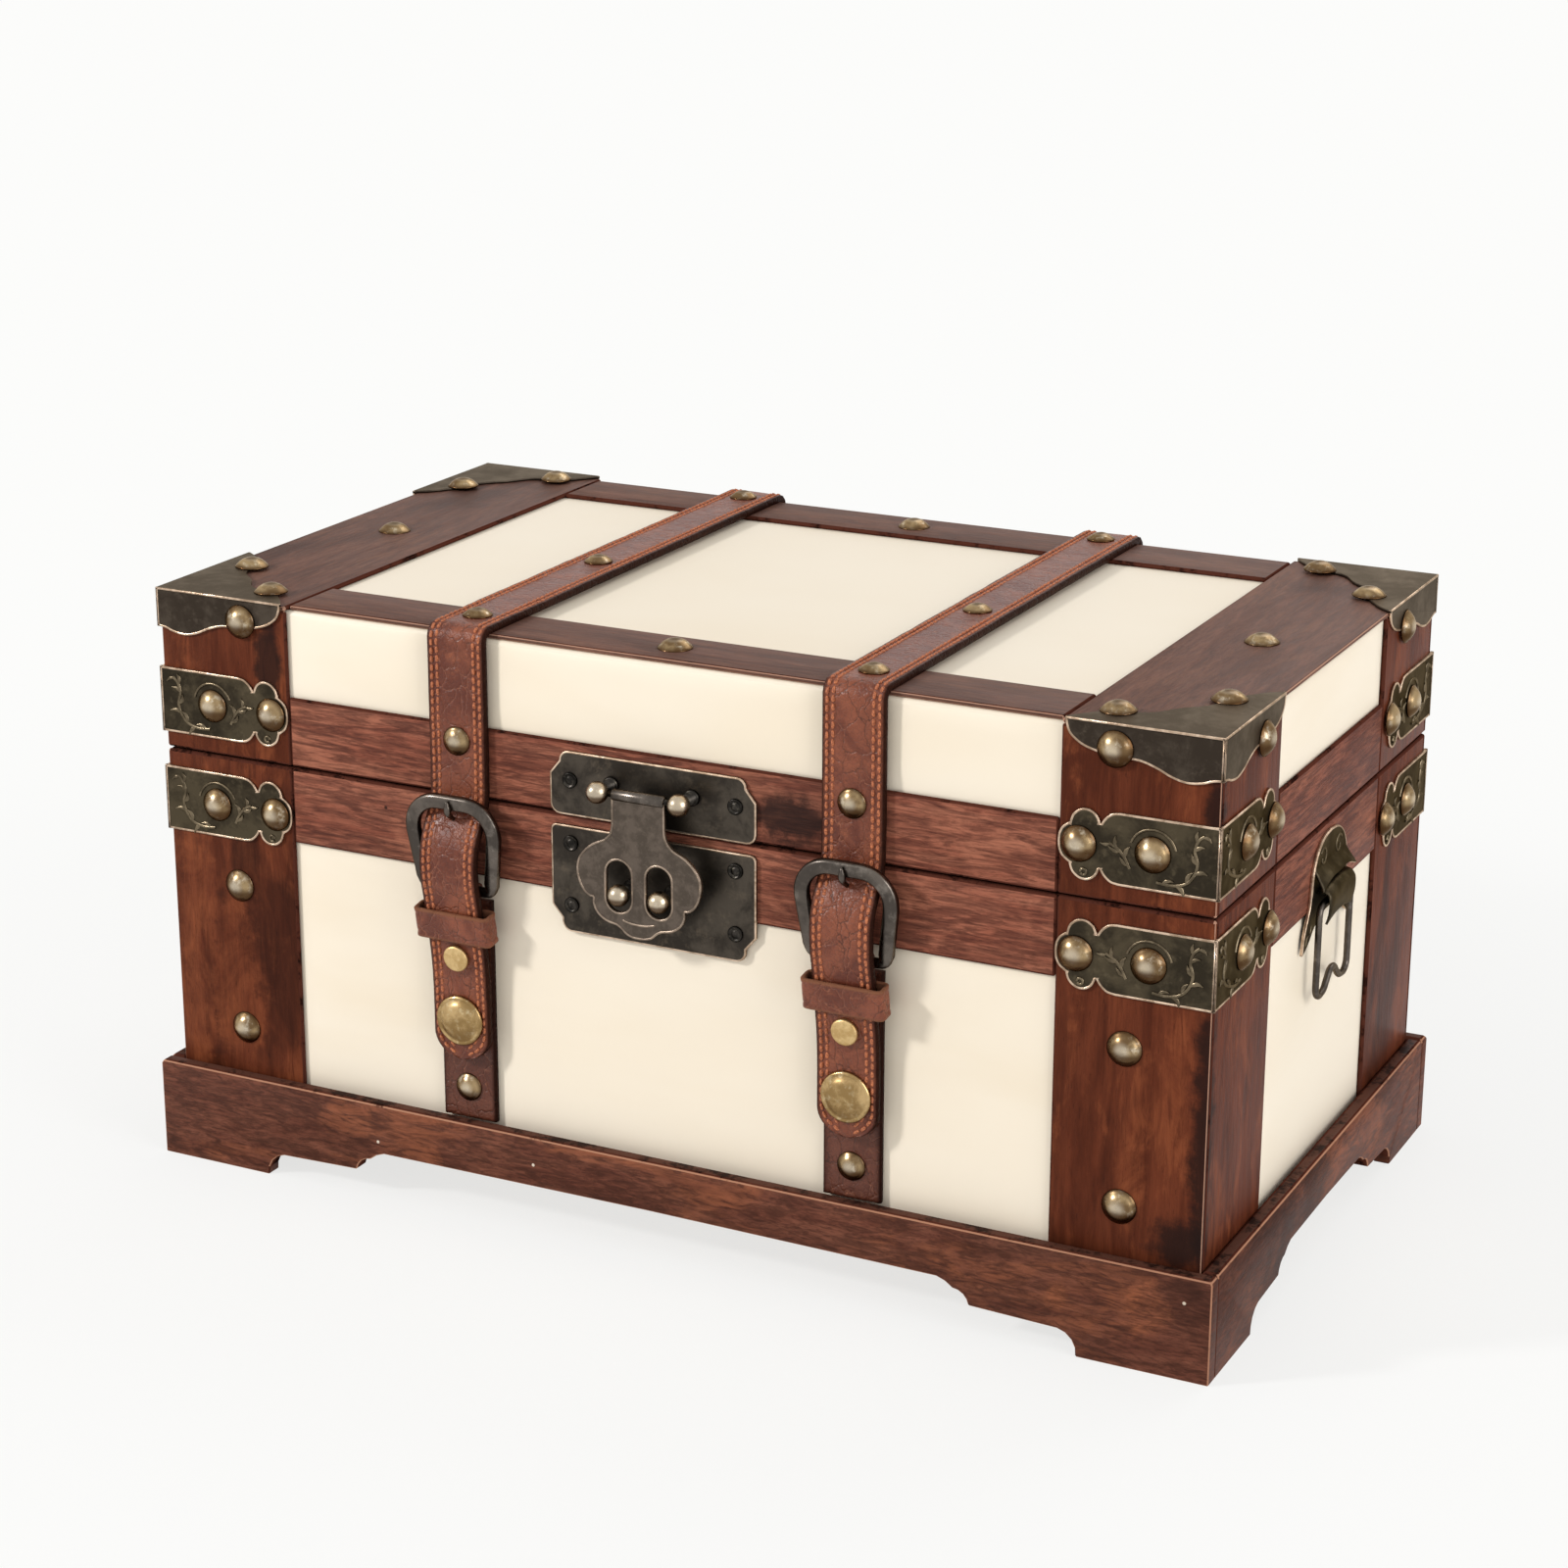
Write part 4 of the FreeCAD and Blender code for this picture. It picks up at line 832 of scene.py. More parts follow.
def loose_parts(edges: Sequence[Sequence[int]], count: int) -> list[int]:
    """Find which points are joined by edges.

    Args:
        edges: Pairs of joined points.
        count: How many points there are.

    Returns:
        The number of each point's part, in the order of the parts' first points.
    """
    parts = list(range(count))

    def root(index: int) -> int:
        """First point of the part that a point belongs to."""
        while parts[index] != index:
            parts[index] = parts[parts[index]]
            index = parts[index]
        return index

    for pair in edges:
        one, two = root(pair[0]), root(pair[1])
        parts[max(one, two)] = min(one, two)
    roots = [root(index) for index in range(count)]
    order = {first: place for place, first in enumerate(sorted(set(roots)))}
    return [order[first] for first in roots]


def number_boards(piece: Piece) -> None:
    """Give each loose part of a piece its own number, for its own grain and stain."""
    parts = loose_parts([edge.vertices for edge in piece.data.edges], len(piece.data.vertices))
    mark_points(piece, "board", [part * 0.618 % 1.0 for part in parts])


def shade_seams(piece: Piece) -> None:
    """Give the rounded edges that lie in a seam the piece's third finish.

    An edge is rubbed only where it is an outer corner of the lid, the box or the plinth.

    Args:
        piece: The piece.
    """
    for side in piece.data.polygons:
        x, y, z = side.center / MM
        flat = max(abs(level) for level in side.normal)
        if side.normal.z > 0.99 and 34.0 < z < 37.0:
            side.material_index = 3
        if flat > 0.99:
            continue
        x, y = abs(x), abs(y - DEPTH_SHIFT)
        if z < 36.9:
            corner = x > 198.5 and y > 113.5
            ledge = z > 34.0 and (x > 199.0 or y > 114.0)
            foot = side.normal.z < -0.2 and (x > 199.0 or y > 114.0)
            rubbed = corner or ledge or foot
        else:
            rubbed = (x > 193.0 and y > 108.0) or (z > 208.0 and (x > 193.0 or y > 106.0))
        if not rubbed:
            side.material_index = 2
        else:
            side.material_index = 1 if flat < 0.86 else 0


def merged(node: str) -> Mesh:
    """The mesh of a CAD node, whose doubled points are merged.

    Args:
        node: The node.

    Returns:
        The mesh.
    """
    build = bmesh.new()
    build.from_mesh(frame["nodes"][node].data)
    bmesh.ops.remove_doubles(build, verts=build.verts, dist=0.001 * MM)
    return build


def copy_of(node: str, kind: str) -> Piece:
    """A copy of a CAD node, whose flat faces are single faces.

    Args:
        node: Name of the node.
        kind: What the piece's name adds to it.

    Returns:
        The piece.
    """
    build = merged(node)
    bmesh.ops.dissolve_limit(build, angle_limit=math.radians(0.5), verts=build.verts, edges=build.edges)
    return piece_from(f"{node}_{kind}", build)


def dress(
    piece: Piece, body: str, materials: Sequence[Material], replaced: Sequence[str] = (),
) -> Piece:
    """Give a piece its finishes and body, and hide what it stands for.

    Args:
        piece: The piece.
        body: CAD body that it rides on.
        materials: Its materials, in the order of its face indices.
        replaced: CAD nodes that it replaces.

    Returns:
        The same piece.
    """
    last = len(materials) - 1
    finishes = [min(side.material_index, last) for side in piece.data.polygons]
    piece.data.materials.clear()
    for material in materials:
        piece.data.materials.append(material)
    piece.data.polygons.foreach_set("material_index", finishes)
    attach(piece, body)
    if replaced:
        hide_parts(*replaced)
    LOG.info("%s: %d faces on %s", piece.name, len(piece.data.polygons), body)
    return piece


def edged_copy(node: str, materials: Sequence[Material], width: float) -> None:
    """Replace a CAD node with a copy whose edges are rounded and rubbed.

    Args:
        node: The CAD node.
        materials: Finish of its faces and of its edges.
        width: Width of the rounded edges, in millimetres.
    """
    piece = copy_of(node, "dressed")
    soften(piece, width)
    if len(materials) > 2:
        shade_seams(piece)
    number_boards(piece)
    dress(piece, body_of(node), materials, [node])


def rimmed_copy(
    node: str, materials: Sequence[Material], rim: float, sink: float, edge: float,
) -> Piece:
    """Replace a stamped sheet with a copy whose outline is a raised, rubbed rim.

    Args:
        node: The CAD node.
        materials: Finish of its faces and of its rims.
        rim: Width of the rim, in millimetres.
        sink: How far the face lies below the rim.
        edge: Width of the rounded edges.

    Returns:
        The piece.
    """
    piece = copy_of(node, "stamped")
    soften(piece, edge, 2)
    build = bmesh.new()
    build.from_mesh(piece.data)
    outer = [side for side in build.faces if side.normal.y < -0.9 and side.calc_area() > 60 * MM * MM]
    for width, depth, finish in ((rim, 0.0, 1), (sink, sink, 0)):
        made = bmesh.ops.inset_individual(
            build, faces=outer, thickness=width * MM, depth=-depth * MM, use_even_offset=True
        )
        for side in made["faces"]:
            side.material_index = finish
    build.to_mesh(piece.data)
    build.free()
    if "custom_normal" in piece.data.attributes:
        piece.data.attributes.remove(piece.data.attributes["custom_normal"])
    for side in piece.data.polygons:
        side.use_smooth = False
    return dress(piece, body_of(node), materials, [node])


def body_of(node: str) -> str:
    """The CAD body that a node belongs to."""
    return frame["nodes"][node]["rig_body"]


def rounded(points: Sequence[Point], steps: int = 6, closed: bool = False) -> list[Point]:
    """A smooth line through points.

    Args:
        points: The points.
        steps: Pieces between each two points.
        closed: Whether the line runs back to its start.

    Returns:
        Points along the smooth line.
    """
    count = len(points)
    line: list[Point] = []
    spans = count if closed else count - 1
    for index in range(spans):
        if closed:
            four = [points[(index + k) % count] for k in (-1, 0, 1, 2)]
        else:
            four = [points[min(max(index + k, 0), count - 1)] for k in (-1, 0, 1, 2)]
        for step in range(steps):
            t = step / steps
            line.append(tuple(
                0.5 * (
                    2 * four[1][a] + (four[2][a] - four[0][a]) * t
                    + (2 * four[0][a] - 5 * four[1][a] + 4 * four[2][a] - four[3][a]) * t * t
                    + (3 * four[1][a] - four[0][a] - 3 * four[2][a] + four[3][a]) * t ** 3
                ) for a in (0, 1)
            ))
    if not closed:
        line.append(tuple(points[-1]))
    return line


def arc(centre: Point, radius: float, start: float, end: float, steps: int = 8) -> list[Point]:
    """Points on an arc.

    Args:
        centre: Its centre.
        radius: Its radius.
        start: First angle in degrees.
        end: Last angle in degrees.
        steps: Pieces of the arc.

    Returns:
        The points, both ends included.
    """
    points = []
    for step in range(steps + 1):
        turn = math.radians(start + (end - start) * step / steps)
        points.append((centre[0] + radius * math.cos(turn), centre[1] + radius * math.sin(turn)))
    return points


def spaced(points: Sequence[Point], pitch: float) -> list[Point]:
    """Points at even distances along a line.

    Args:
        points: The line.
        pitch: Distance between the new points.

    Returns:
        The new points, both ends included.
    """
    lengths = [0.0]
    for one, two in zip(points, points[1:]):
        lengths.append(lengths[-1] + math.dist(one, two))
    count = max(2, round(lengths[-1] / pitch))
    line, at = [], 0
    for index in range(count + 1):
        goal = lengths[-1] * index / count
        while at < len(points) - 2 and lengths[at + 1] < goal:
            at += 1
        run = lengths[at + 1] - lengths[at]
        share = (goal - lengths[at]) / run if run > 0 else 0.0
        line.append(tuple(points[at][a] + (points[at + 1][a] - points[at][a]) * share for a in (0, 1)))
    return line


def mirrored(half: Sequence[Point]) -> list[Point]:
    """Close a half outline, whose ends lie on a = 0, with its mirror image."""
    return list(half) + [(-a, b) for a, b in reversed(half) if abs(a) > 1e-6]


def plate(loops: Sequence[Sequence[Point]], thick: float, edge: float, place: Matrix) -> Mesh:
    """A plate with holes and rounded edges. Its edges are face index 1.

    Args:
        loops: Outline and holes, in millimetres.
        thick: Thickness.
        edge: Radius of the rounded edges.
        place: Where its back face lies.

    Returns:
        The mesh, in place.
    """
    curve = bpy.data.curves.new("plate", "CURVE")
    curve.dimensions = "2D"
    curve.fill_mode = "BOTH"
    curve.extrude = thick / 2 - edge
    curve.bevel_depth = edge
    curve.bevel_resolution = 2
    curve.offset = -edge
    for loop in loops:
        spline = curve.splines.new("POLY")
        spline.points.add(len(loop) - 1)
        spline.use_cyclic_u = True
        for point, (a, b) in zip(spline.points, loop):
            point.co = (a, b, 0.0, 1.0)
    drawn = placed("plate", curve)
    graph = bpy.context.evaluated_depsgraph_get()
    mesh = bpy.data.meshes.new_from_object(drawn.evaluated_get(graph), depsgraph=graph)
    bpy.data.objects.remove(drawn)
    build = bmesh.new()
    build.from_mesh(mesh)
    bmesh.ops.remove_doubles(build, verts=build.verts, dist=0.002)
    bmesh.ops.recalc_face_normals(build, faces=build.faces)
    for side in build.faces:
        side.smooth = abs(side.normal.z) <= 0.95
        side.material_index = int(side.smooth)
    build.transform(place @ Matrix.Translation((0, 0, thick / 2)))
    build.to_mesh(mesh)
    build.free()
    build = bmesh.new()
    build.from_mesh(mesh)
    return build


def inset(loop: Sequence[Point], width: float) -> list[Point]:
    """Move a counter-clockwise outline inwards.

    Args:
        loop: The outline.
        width: How far.

    Returns:
        As many points as the outline has.
    """
    moved = []
    for index, here in enumerate(loop):
        before, after = loop[index - 1], loop[(index + 1) % len(loop)]
        one = (Vector(here) - Vector(before)).normalized()
        two = (Vector(after) - Vector(here)).normalized()
        aim = Vector((-one.y - two.y, one.x + two.x))
        aim = aim.normalized() if aim.length > 1e-6 else Vector((-one.y, one.x))
        reach = width / max(aim.dot(Vector((-one.y, one.x))), 0.6)
        moved.append((here[0] + aim.x * reach, here[1] + aim.y * reach))
    return moved


def stamp(
    build: Mesh, loop: Sequence[Point], place: Matrix, thick: float, rim: float,
    sink: float, finish: int = 1,
) -> None:
    """A sheet whose face lies a little below its rounded rim.

    Args:
        build: Mesh that receives it.
        loop: The outline, in millimetres.
        place: Where its back lies.
        thick: Height of the rim.
        rim: Width of the rim.
        sink: How far the face lies below it.
        finish: Face index of the rim.
    """
    turn = sum(a[0] * b[1] - b[0] * a[1] for a, b in zip(loop, list(loop[1:]) + [loop[0]]))
    loop = list(loop) if turn > 0 else list(reversed(loop))
    steps = [(0.0, 0.0), (0.0, thick - 0.25), (0.08, thick - 0.08), (0.25, thick)]
    if sink:
        steps += [(rim - 0.1, thick), (rim, thick - 0.05), (rim + 0.12, thick - sink)]
    rows = []
    for width, height in steps:
        line = inset(loop, width) if width else loop
        rows.append([build.verts.new(place @ Vector((a, b, height))) for a, b in line])
    for low, high in zip(rows, rows[1:]):
        for index in range(len(loop)):
            after = (index + 1) % len(loop)
            side = build.faces.new((low[index], low[after], high[after], high[index]))
            side.material_index = finish
            side.smooth = True
    face = build.faces.new(rows[-1])
    face.material_index = 0
    back = build.faces.new(list(reversed(rows[0])))
    back.material_index = 0


def lathe(build: Mesh, profile: Sequence[Point], place: Matrix, sides: int = 32, finish: int = 0) -> None:
    """Turn a profile round the drawing's normal.

    Args:
        build: Mesh that receives it.
        profile: (radius, height) from its foot to its top, in millimetres.
        place: Where its foot stands.
        sides: Facets round it.
        finish: Number of its finish.
    """
    rings = []
    for radius, height in profile:
        if radius < 1e-6:
            rings.append([build.verts.new(place @ Vector((0, 0, height)))])
            continue
        ring = []
        for index in range(sides):
            turn = 2 * math.pi * index / sides
            corner = Vector((radius * math.cos(turn), radius * math.sin(turn), height))
            ring.append(build.verts.new(place @ corner))
        rings.append(ring)
    made = []
    for low, high in zip(rings, rings[1:]):
        for index in range(sides):
            after = (index + 1) % sides
            if len(low) == 1:
                made.append(build.faces.new((low[0], high[after], high[index])))
            elif len(high) == 1:
                made.append(build.faces.new((low[index], low[after], high[0])))
            else:
                made.append(build.faces.new((low[index], low[after], high[after], high[index])))
    if len(rings[0]) > 1:
        made.append(build.faces.new(list(reversed(rings[0]))))
    if len(rings[-1]) > 1:
        made.append(build.faces.new(rings[-1]))
    for side in made:
        side.material_index = finish
        side.smooth = True


def sweep(build: Mesh, rings: Sequence[Sequence[Vector]], closed: bool = False) -> list[bmesh.types.BMFace]:
    """Skin a row of equal rings.

    Args:
        build: Mesh that receives it.
        rings: Rings of points in place, in metres.
        closed: Whether the last ring joins the first.

    Returns:
        The new faces.
    """
    rows = [[build.verts.new(corner) for corner in ring] for ring in rings]
    made = []
    pairs = list(zip(rows, rows[1:])) + ([(rows[-1], rows[0])] if closed else [])
    for low, high in pairs:
        for index in range(len(low)):
            after = (index + 1) % len(low)
            made.append(build.faces.new((low[index], low[after], high[after], high[index])))
    if not closed:
        made.append(build.faces.new(list(reversed(rows[0]))))
        made.append(build.faces.new(rows[-1]))
    return made


def wire(
    build: Mesh, line: Sequence[Point], place: Matrix, size: Callable[[int], Point],
    sides: int = 12, closed: bool = True, square: float = 1.0, finish: int = 0,
) -> None:
    """Sweep an oval section along a line drawn in a plane.

    Args:
        build: Mesh that receives it.
        line: The line, in millimetres.
        place: Where the drawing lies.
        size: Half width in the plane and half depth of the section, for each point's number.
        sides: Facets round the section.
        closed: Whether the line runs back to its start.
        square: Less than 1 flattens the section's sides.
        finish: Number of its finish.
    """
    rings = []
    for index, (a, b) in enumerate(line):
        across = outward(line, index, closed)
        wide, deep = size(index)
        ring = []
        for step in range(sides):
            turn = 2 * math.pi * step / sides
            side, rise = (math.copysign(abs(v) ** square, v) for v in (math.cos(turn), math.sin(turn)))
            flat = across * (wide * side)
            ring.append(place @ Vector((a + flat.x, b + flat.y, -deep * rise)))
        rings.append(ring)
    for face in sweep(build, rings, closed):
        face.material_index = finish
        face.smooth = True
    bmesh.ops.recalc_face_normals(build, faces=build.faces)


# --- Geometry Nodes for what repeats ---


class Repeater(NodeSet):
    """A Geometry Nodes tree that repeats or follows, and its use on one piece."""

    def __init__(self, name: str, inputs: dict[str, tuple[str, object]]) -> None:
        """Start a tree with a geometry input and output, and a finish.

        Args:
            name: Name of the tree.
            inputs: Kind and usual value of each further input.
        """
        super().__init__(bpy.data.node_groups.new(name, "GeometryNodeTree"))
        self.sockets: dict[str, str] = {}
        listed = {"Geometry": ("Geometry", None)} | inputs | {"Finish": ("Material", None)}
        for label, (kind, value) in listed.items():
            kind = f"NodeSocket{kind}"
            socket = self.tree.interface.new_socket(label, in_out="INPUT", socket_type=kind)
            if value is not None:
                socket.default_value = value
            self.sockets[label] = socket.identifier
        self.tree.interface.new_socket("Geometry", in_out="OUTPUT", socket_type="NodeSocketGeometry")
        self.given = self.node("NodeGroupInput").outputs

    def close(self, geometry: Socket) -> None:
        """End the tree: real meshes, then their material."""
        real = self.node("GeometryNodeRealizeInstances", {"Geometry": geometry}).outputs["Geometry"]
        paint = self.node("GeometryNodeSetMaterial", {"Geometry": real, "Material": self.given["Finish"]})
        self.node("NodeGroupOutput", {0: paint.outputs["Geometry"]})

    def turns(self, share: str, most: Point3) -> Socket:
        """A random turn for each copy, either way.

        Args:
            share: Input that scales the turn.
            most: The turn about each axis where that input is 1.

        Returns:
            The turn.
        """
        inputs = {"Seed": self.given["Seed"]}
        for end, way in enumerate((-1, 1)):
            reach = {0: way * Vector(most), "Scale": self.given[share]}
            inputs[end] = self.node("ShaderNodeVectorMath", reach, operation="SCALE").outputs[0]
        return self.node("FunctionNodeRandomValue", inputs, data_type="FLOAT_VECTOR").outputs[0]

    def copies(self, piece: str, points: Socket, aim: Socket, turn: Socket, size: object) -> None:
        """End the tree with a copy of a piece on each point.

        Args:
            piece: Input that holds the piece.
            points: The points.
            aim: The way in which a copy's axis points.
            turn: Further turn of a copy.
            size: Scale of a copy.
        """
        whole = self.node("GeometryNodeObjectInfo", {"Object": self.given[piece]}).outputs["Geometry"]
        aimed = self.node("FunctionNodeAlignRotationToVector", {"Vector": aim}, axis="Z")
        place = self.node("GeometryNodeInstanceOnPoints", {
            "Points": points, "Instance": whole, "Rotation": aimed.outputs["Rotation"], "Scale": size,
        }).outputs["Instances"]
        spin = self.node("GeometryNodeRotateInstances", {"Instances": place, "Rotation": turn})
        self.close(spin.outputs["Instances"])

    def run(self, carrier: Piece, values: dict[str, object]) -> Piece:
        """Run the tree on a carrier and keep the result as plain mesh.

        Args:
            carrier: Object whose points or lines the tree follows.
            values: Named inputs.

        Returns:
            The carrier, now with the finished mesh.
        """
        modifier = carrier.modifiers.new(self.tree.name, "NODES")
        modifier.node_group = self.tree
        for name, value in values.items():
            modifier[self.sockets[name]] = value
        bake_modifiers(carrier)
        for polygon in carrier.data.polygons:
            polygon.use_smooth = True
        return carrier


class HeadRepeater(Repeater):
    """Sets a head, such as a nail's, on each point, aimed along the point's normal."""

    def __init__(self) -> None:
        """Build the tree."""
        super().__init__("heads_on_points", {
            "Head": ("Object", None), "Size spread": ("Float", 0.02), "Tilt": ("Float", 0.03),
            "Seed": ("Int", 7),
        })
        given = self.given
        aim = self.node("GeometryNodeInputNamedAttribute", {"Name": "aim"}, data_type="FLOAT_VECTOR")
        low = self.node("ShaderNodeMath", {0: 1.0, 1: given["Size spread"]}, operation="SUBTRACT")
        inputs = {2: low.outputs[0], 3: 1.0, "Seed": given["Seed"]}
        size = self.node("FunctionNodeRandomValue", inputs, data_type="FLOAT").outputs[1]
        turn = self.turns("Tilt", (1, 1, 90))
        self.copies("Head", given["Geometry"], aim.outputs["Attribute"], turn, size)


class StitchRepeater(Repeater):
    """Lays stitches end to end along lines."""

    def __init__(self) -> None:
        """Build the tree."""
        super().__init__("stitches_along_lines", {
            "Stitch": ("Object", None), "Pitch": ("Float", 3.4 * MM), "Wobble": ("Float", 0.06),
            "Seed": ("Int", 11),
        })
        curve = self.node("GeometryNodeMeshToCurve", {"Mesh": self.given["Geometry"]}).outputs["Curve"]
        inputs = {"Curve": curve, "Length": self.given["Pitch"]}
        steps = self.node("GeometryNodeResampleCurve", inputs, mode="LENGTH").outputs["Curve"]
        tangent = self.node("GeometryNodeInputTangent").outputs["Tangent"]
        self.copies("Stitch", steps, tangent, self.turns("Wobble", (1, 1, 1)), (1, 1, 1))


class ReliefRepeater(Repeater):
    """Raises a rounded ridge along lines, as wide as each point says."""

    def __init__(self) -> None:
        """Build the tree."""
        super().__init__("ridges_along_lines", {"Sides": ("Int", 10)})
        curve = self.node("GeometryNodeMeshToCurve", {"Mesh": self.given["Geometry"]}).outputs["Curve"]
        wide = self.node("GeometryNodeInputNamedAttribute", {"Name": "half_width"}, data_type="FLOAT")
        wide = wide.outputs["Attribute"]
        sized = self.node("GeometryNodeSetCurveRadius", {"Curve": curve, "Radius": wide})
        ring = self.node("GeometryNodeCurvePrimitiveCircle", {
            "Resolution": self.given["Sides"], "Radius": 1.0,
        })
        skin = self.node("GeometryNodeCurveToMesh", {
            "Curve": sized.outputs["Curve"], "Profile Curve": ring.outputs["Curve"], "Fill Caps": True,
        })
        if "Scale" in skin.inputs:
            self.put(skin.inputs["Scale"], wide)
        self.close(skin.outputs["Mesh"])


def lines_object(name: str, lines: Sequence[Sequence[object]]) -> Piece:
    """An object of edges only, for a tree to follow.

    Args:
        name: Name of the piece it becomes.
        lines: Lines of places, in metres, or of places with half widths.

    Returns:
        The object.
    """
    corners, edges, widths = [], [], []
    for line in lines:
        first = len(corners)
        for item in line:
            place, wide = item if isinstance(item, tuple) else (item, 0.0)
            corners.append(tuple(place))
            widths.append(wide)
        edges += [(first + k, first + k + 1) for k in range(len(line) - 1)]
    mesh = bpy.data.meshes.new(name)
    mesh.from_pydata(corners, edges, [])
    piece = placed(name, mesh)
    mark_points(piece, "half_width", widths)
    return piece


def points_object(name: str, heads: Sequence[tuple[Vector, Vector]]) -> Piece:
    """An object of points with aims, for a tree to follow.

    Args:
        name: Name of the piece it becomes.
        heads: Places in millimetres and unit aims.

    Returns:
        The object.
    """
    mesh = bpy.data.meshes.new(name)
    mesh.from_pydata([tuple(spot(*place)) for place, _ in heads], [], [])
    aims = mesh.attributes.new("aim", "FLOAT_VECTOR", "POINT")
    for item, (_, aim) in zip(aims.data, heads):
        item.vector = aim
    return placed(name, mesh)


@dataclass
class Workshop:
    """What every sub-assembly shares: finishes, trees and pattern pieces."""

    palette: Palette = field(default_factory=Palette)
    heads: HeadRepeater = field(default_factory=HeadRepeater)
    stitches: StitchRepeater = field(default_factory=StitchRepeater)
    ridges: ReliefRepeater = field(default_factory=ReliefRepeater)
    patterns: list[Piece] = field(default_factory=list)

    def pattern(self, name: str, profile: Sequence[Point], sides: int = 20) -> Piece:
        """A turned piece at the origin, for a tree to repeat.

        Args:
            name: Its name.
            profile: (radius, height) points in millimetres.
            sides: Facets round it.

        Returns:
            The object, which clear() removes.
        """
        build = bmesh.new()
        lathe(build, profile, Matrix.Scale(MM, 4), sides)
        made = piece_from(name, build)
        widest = max(radius for radius, _ in profile)
        mark_points(made, "reach", [vert.co.xy.length / MM / widest for vert in made.data.vertices])
        self.patterns.append(made)
        return made

    def dress(self, piece: Piece, node: str, slot: str, *names: str) -> None:
        """Give a piece named finishes, in place of one CAD node."""
        dress(piece, body_of(node), self.palette.paint(*names), [node])

    def clear(self) -> None:
        """Remove the pattern pieces."""
        for made in self.patterns:
            bpy.data.objects.remove(made)
        self.patterns.clear()


# --- Body of the trunk ---


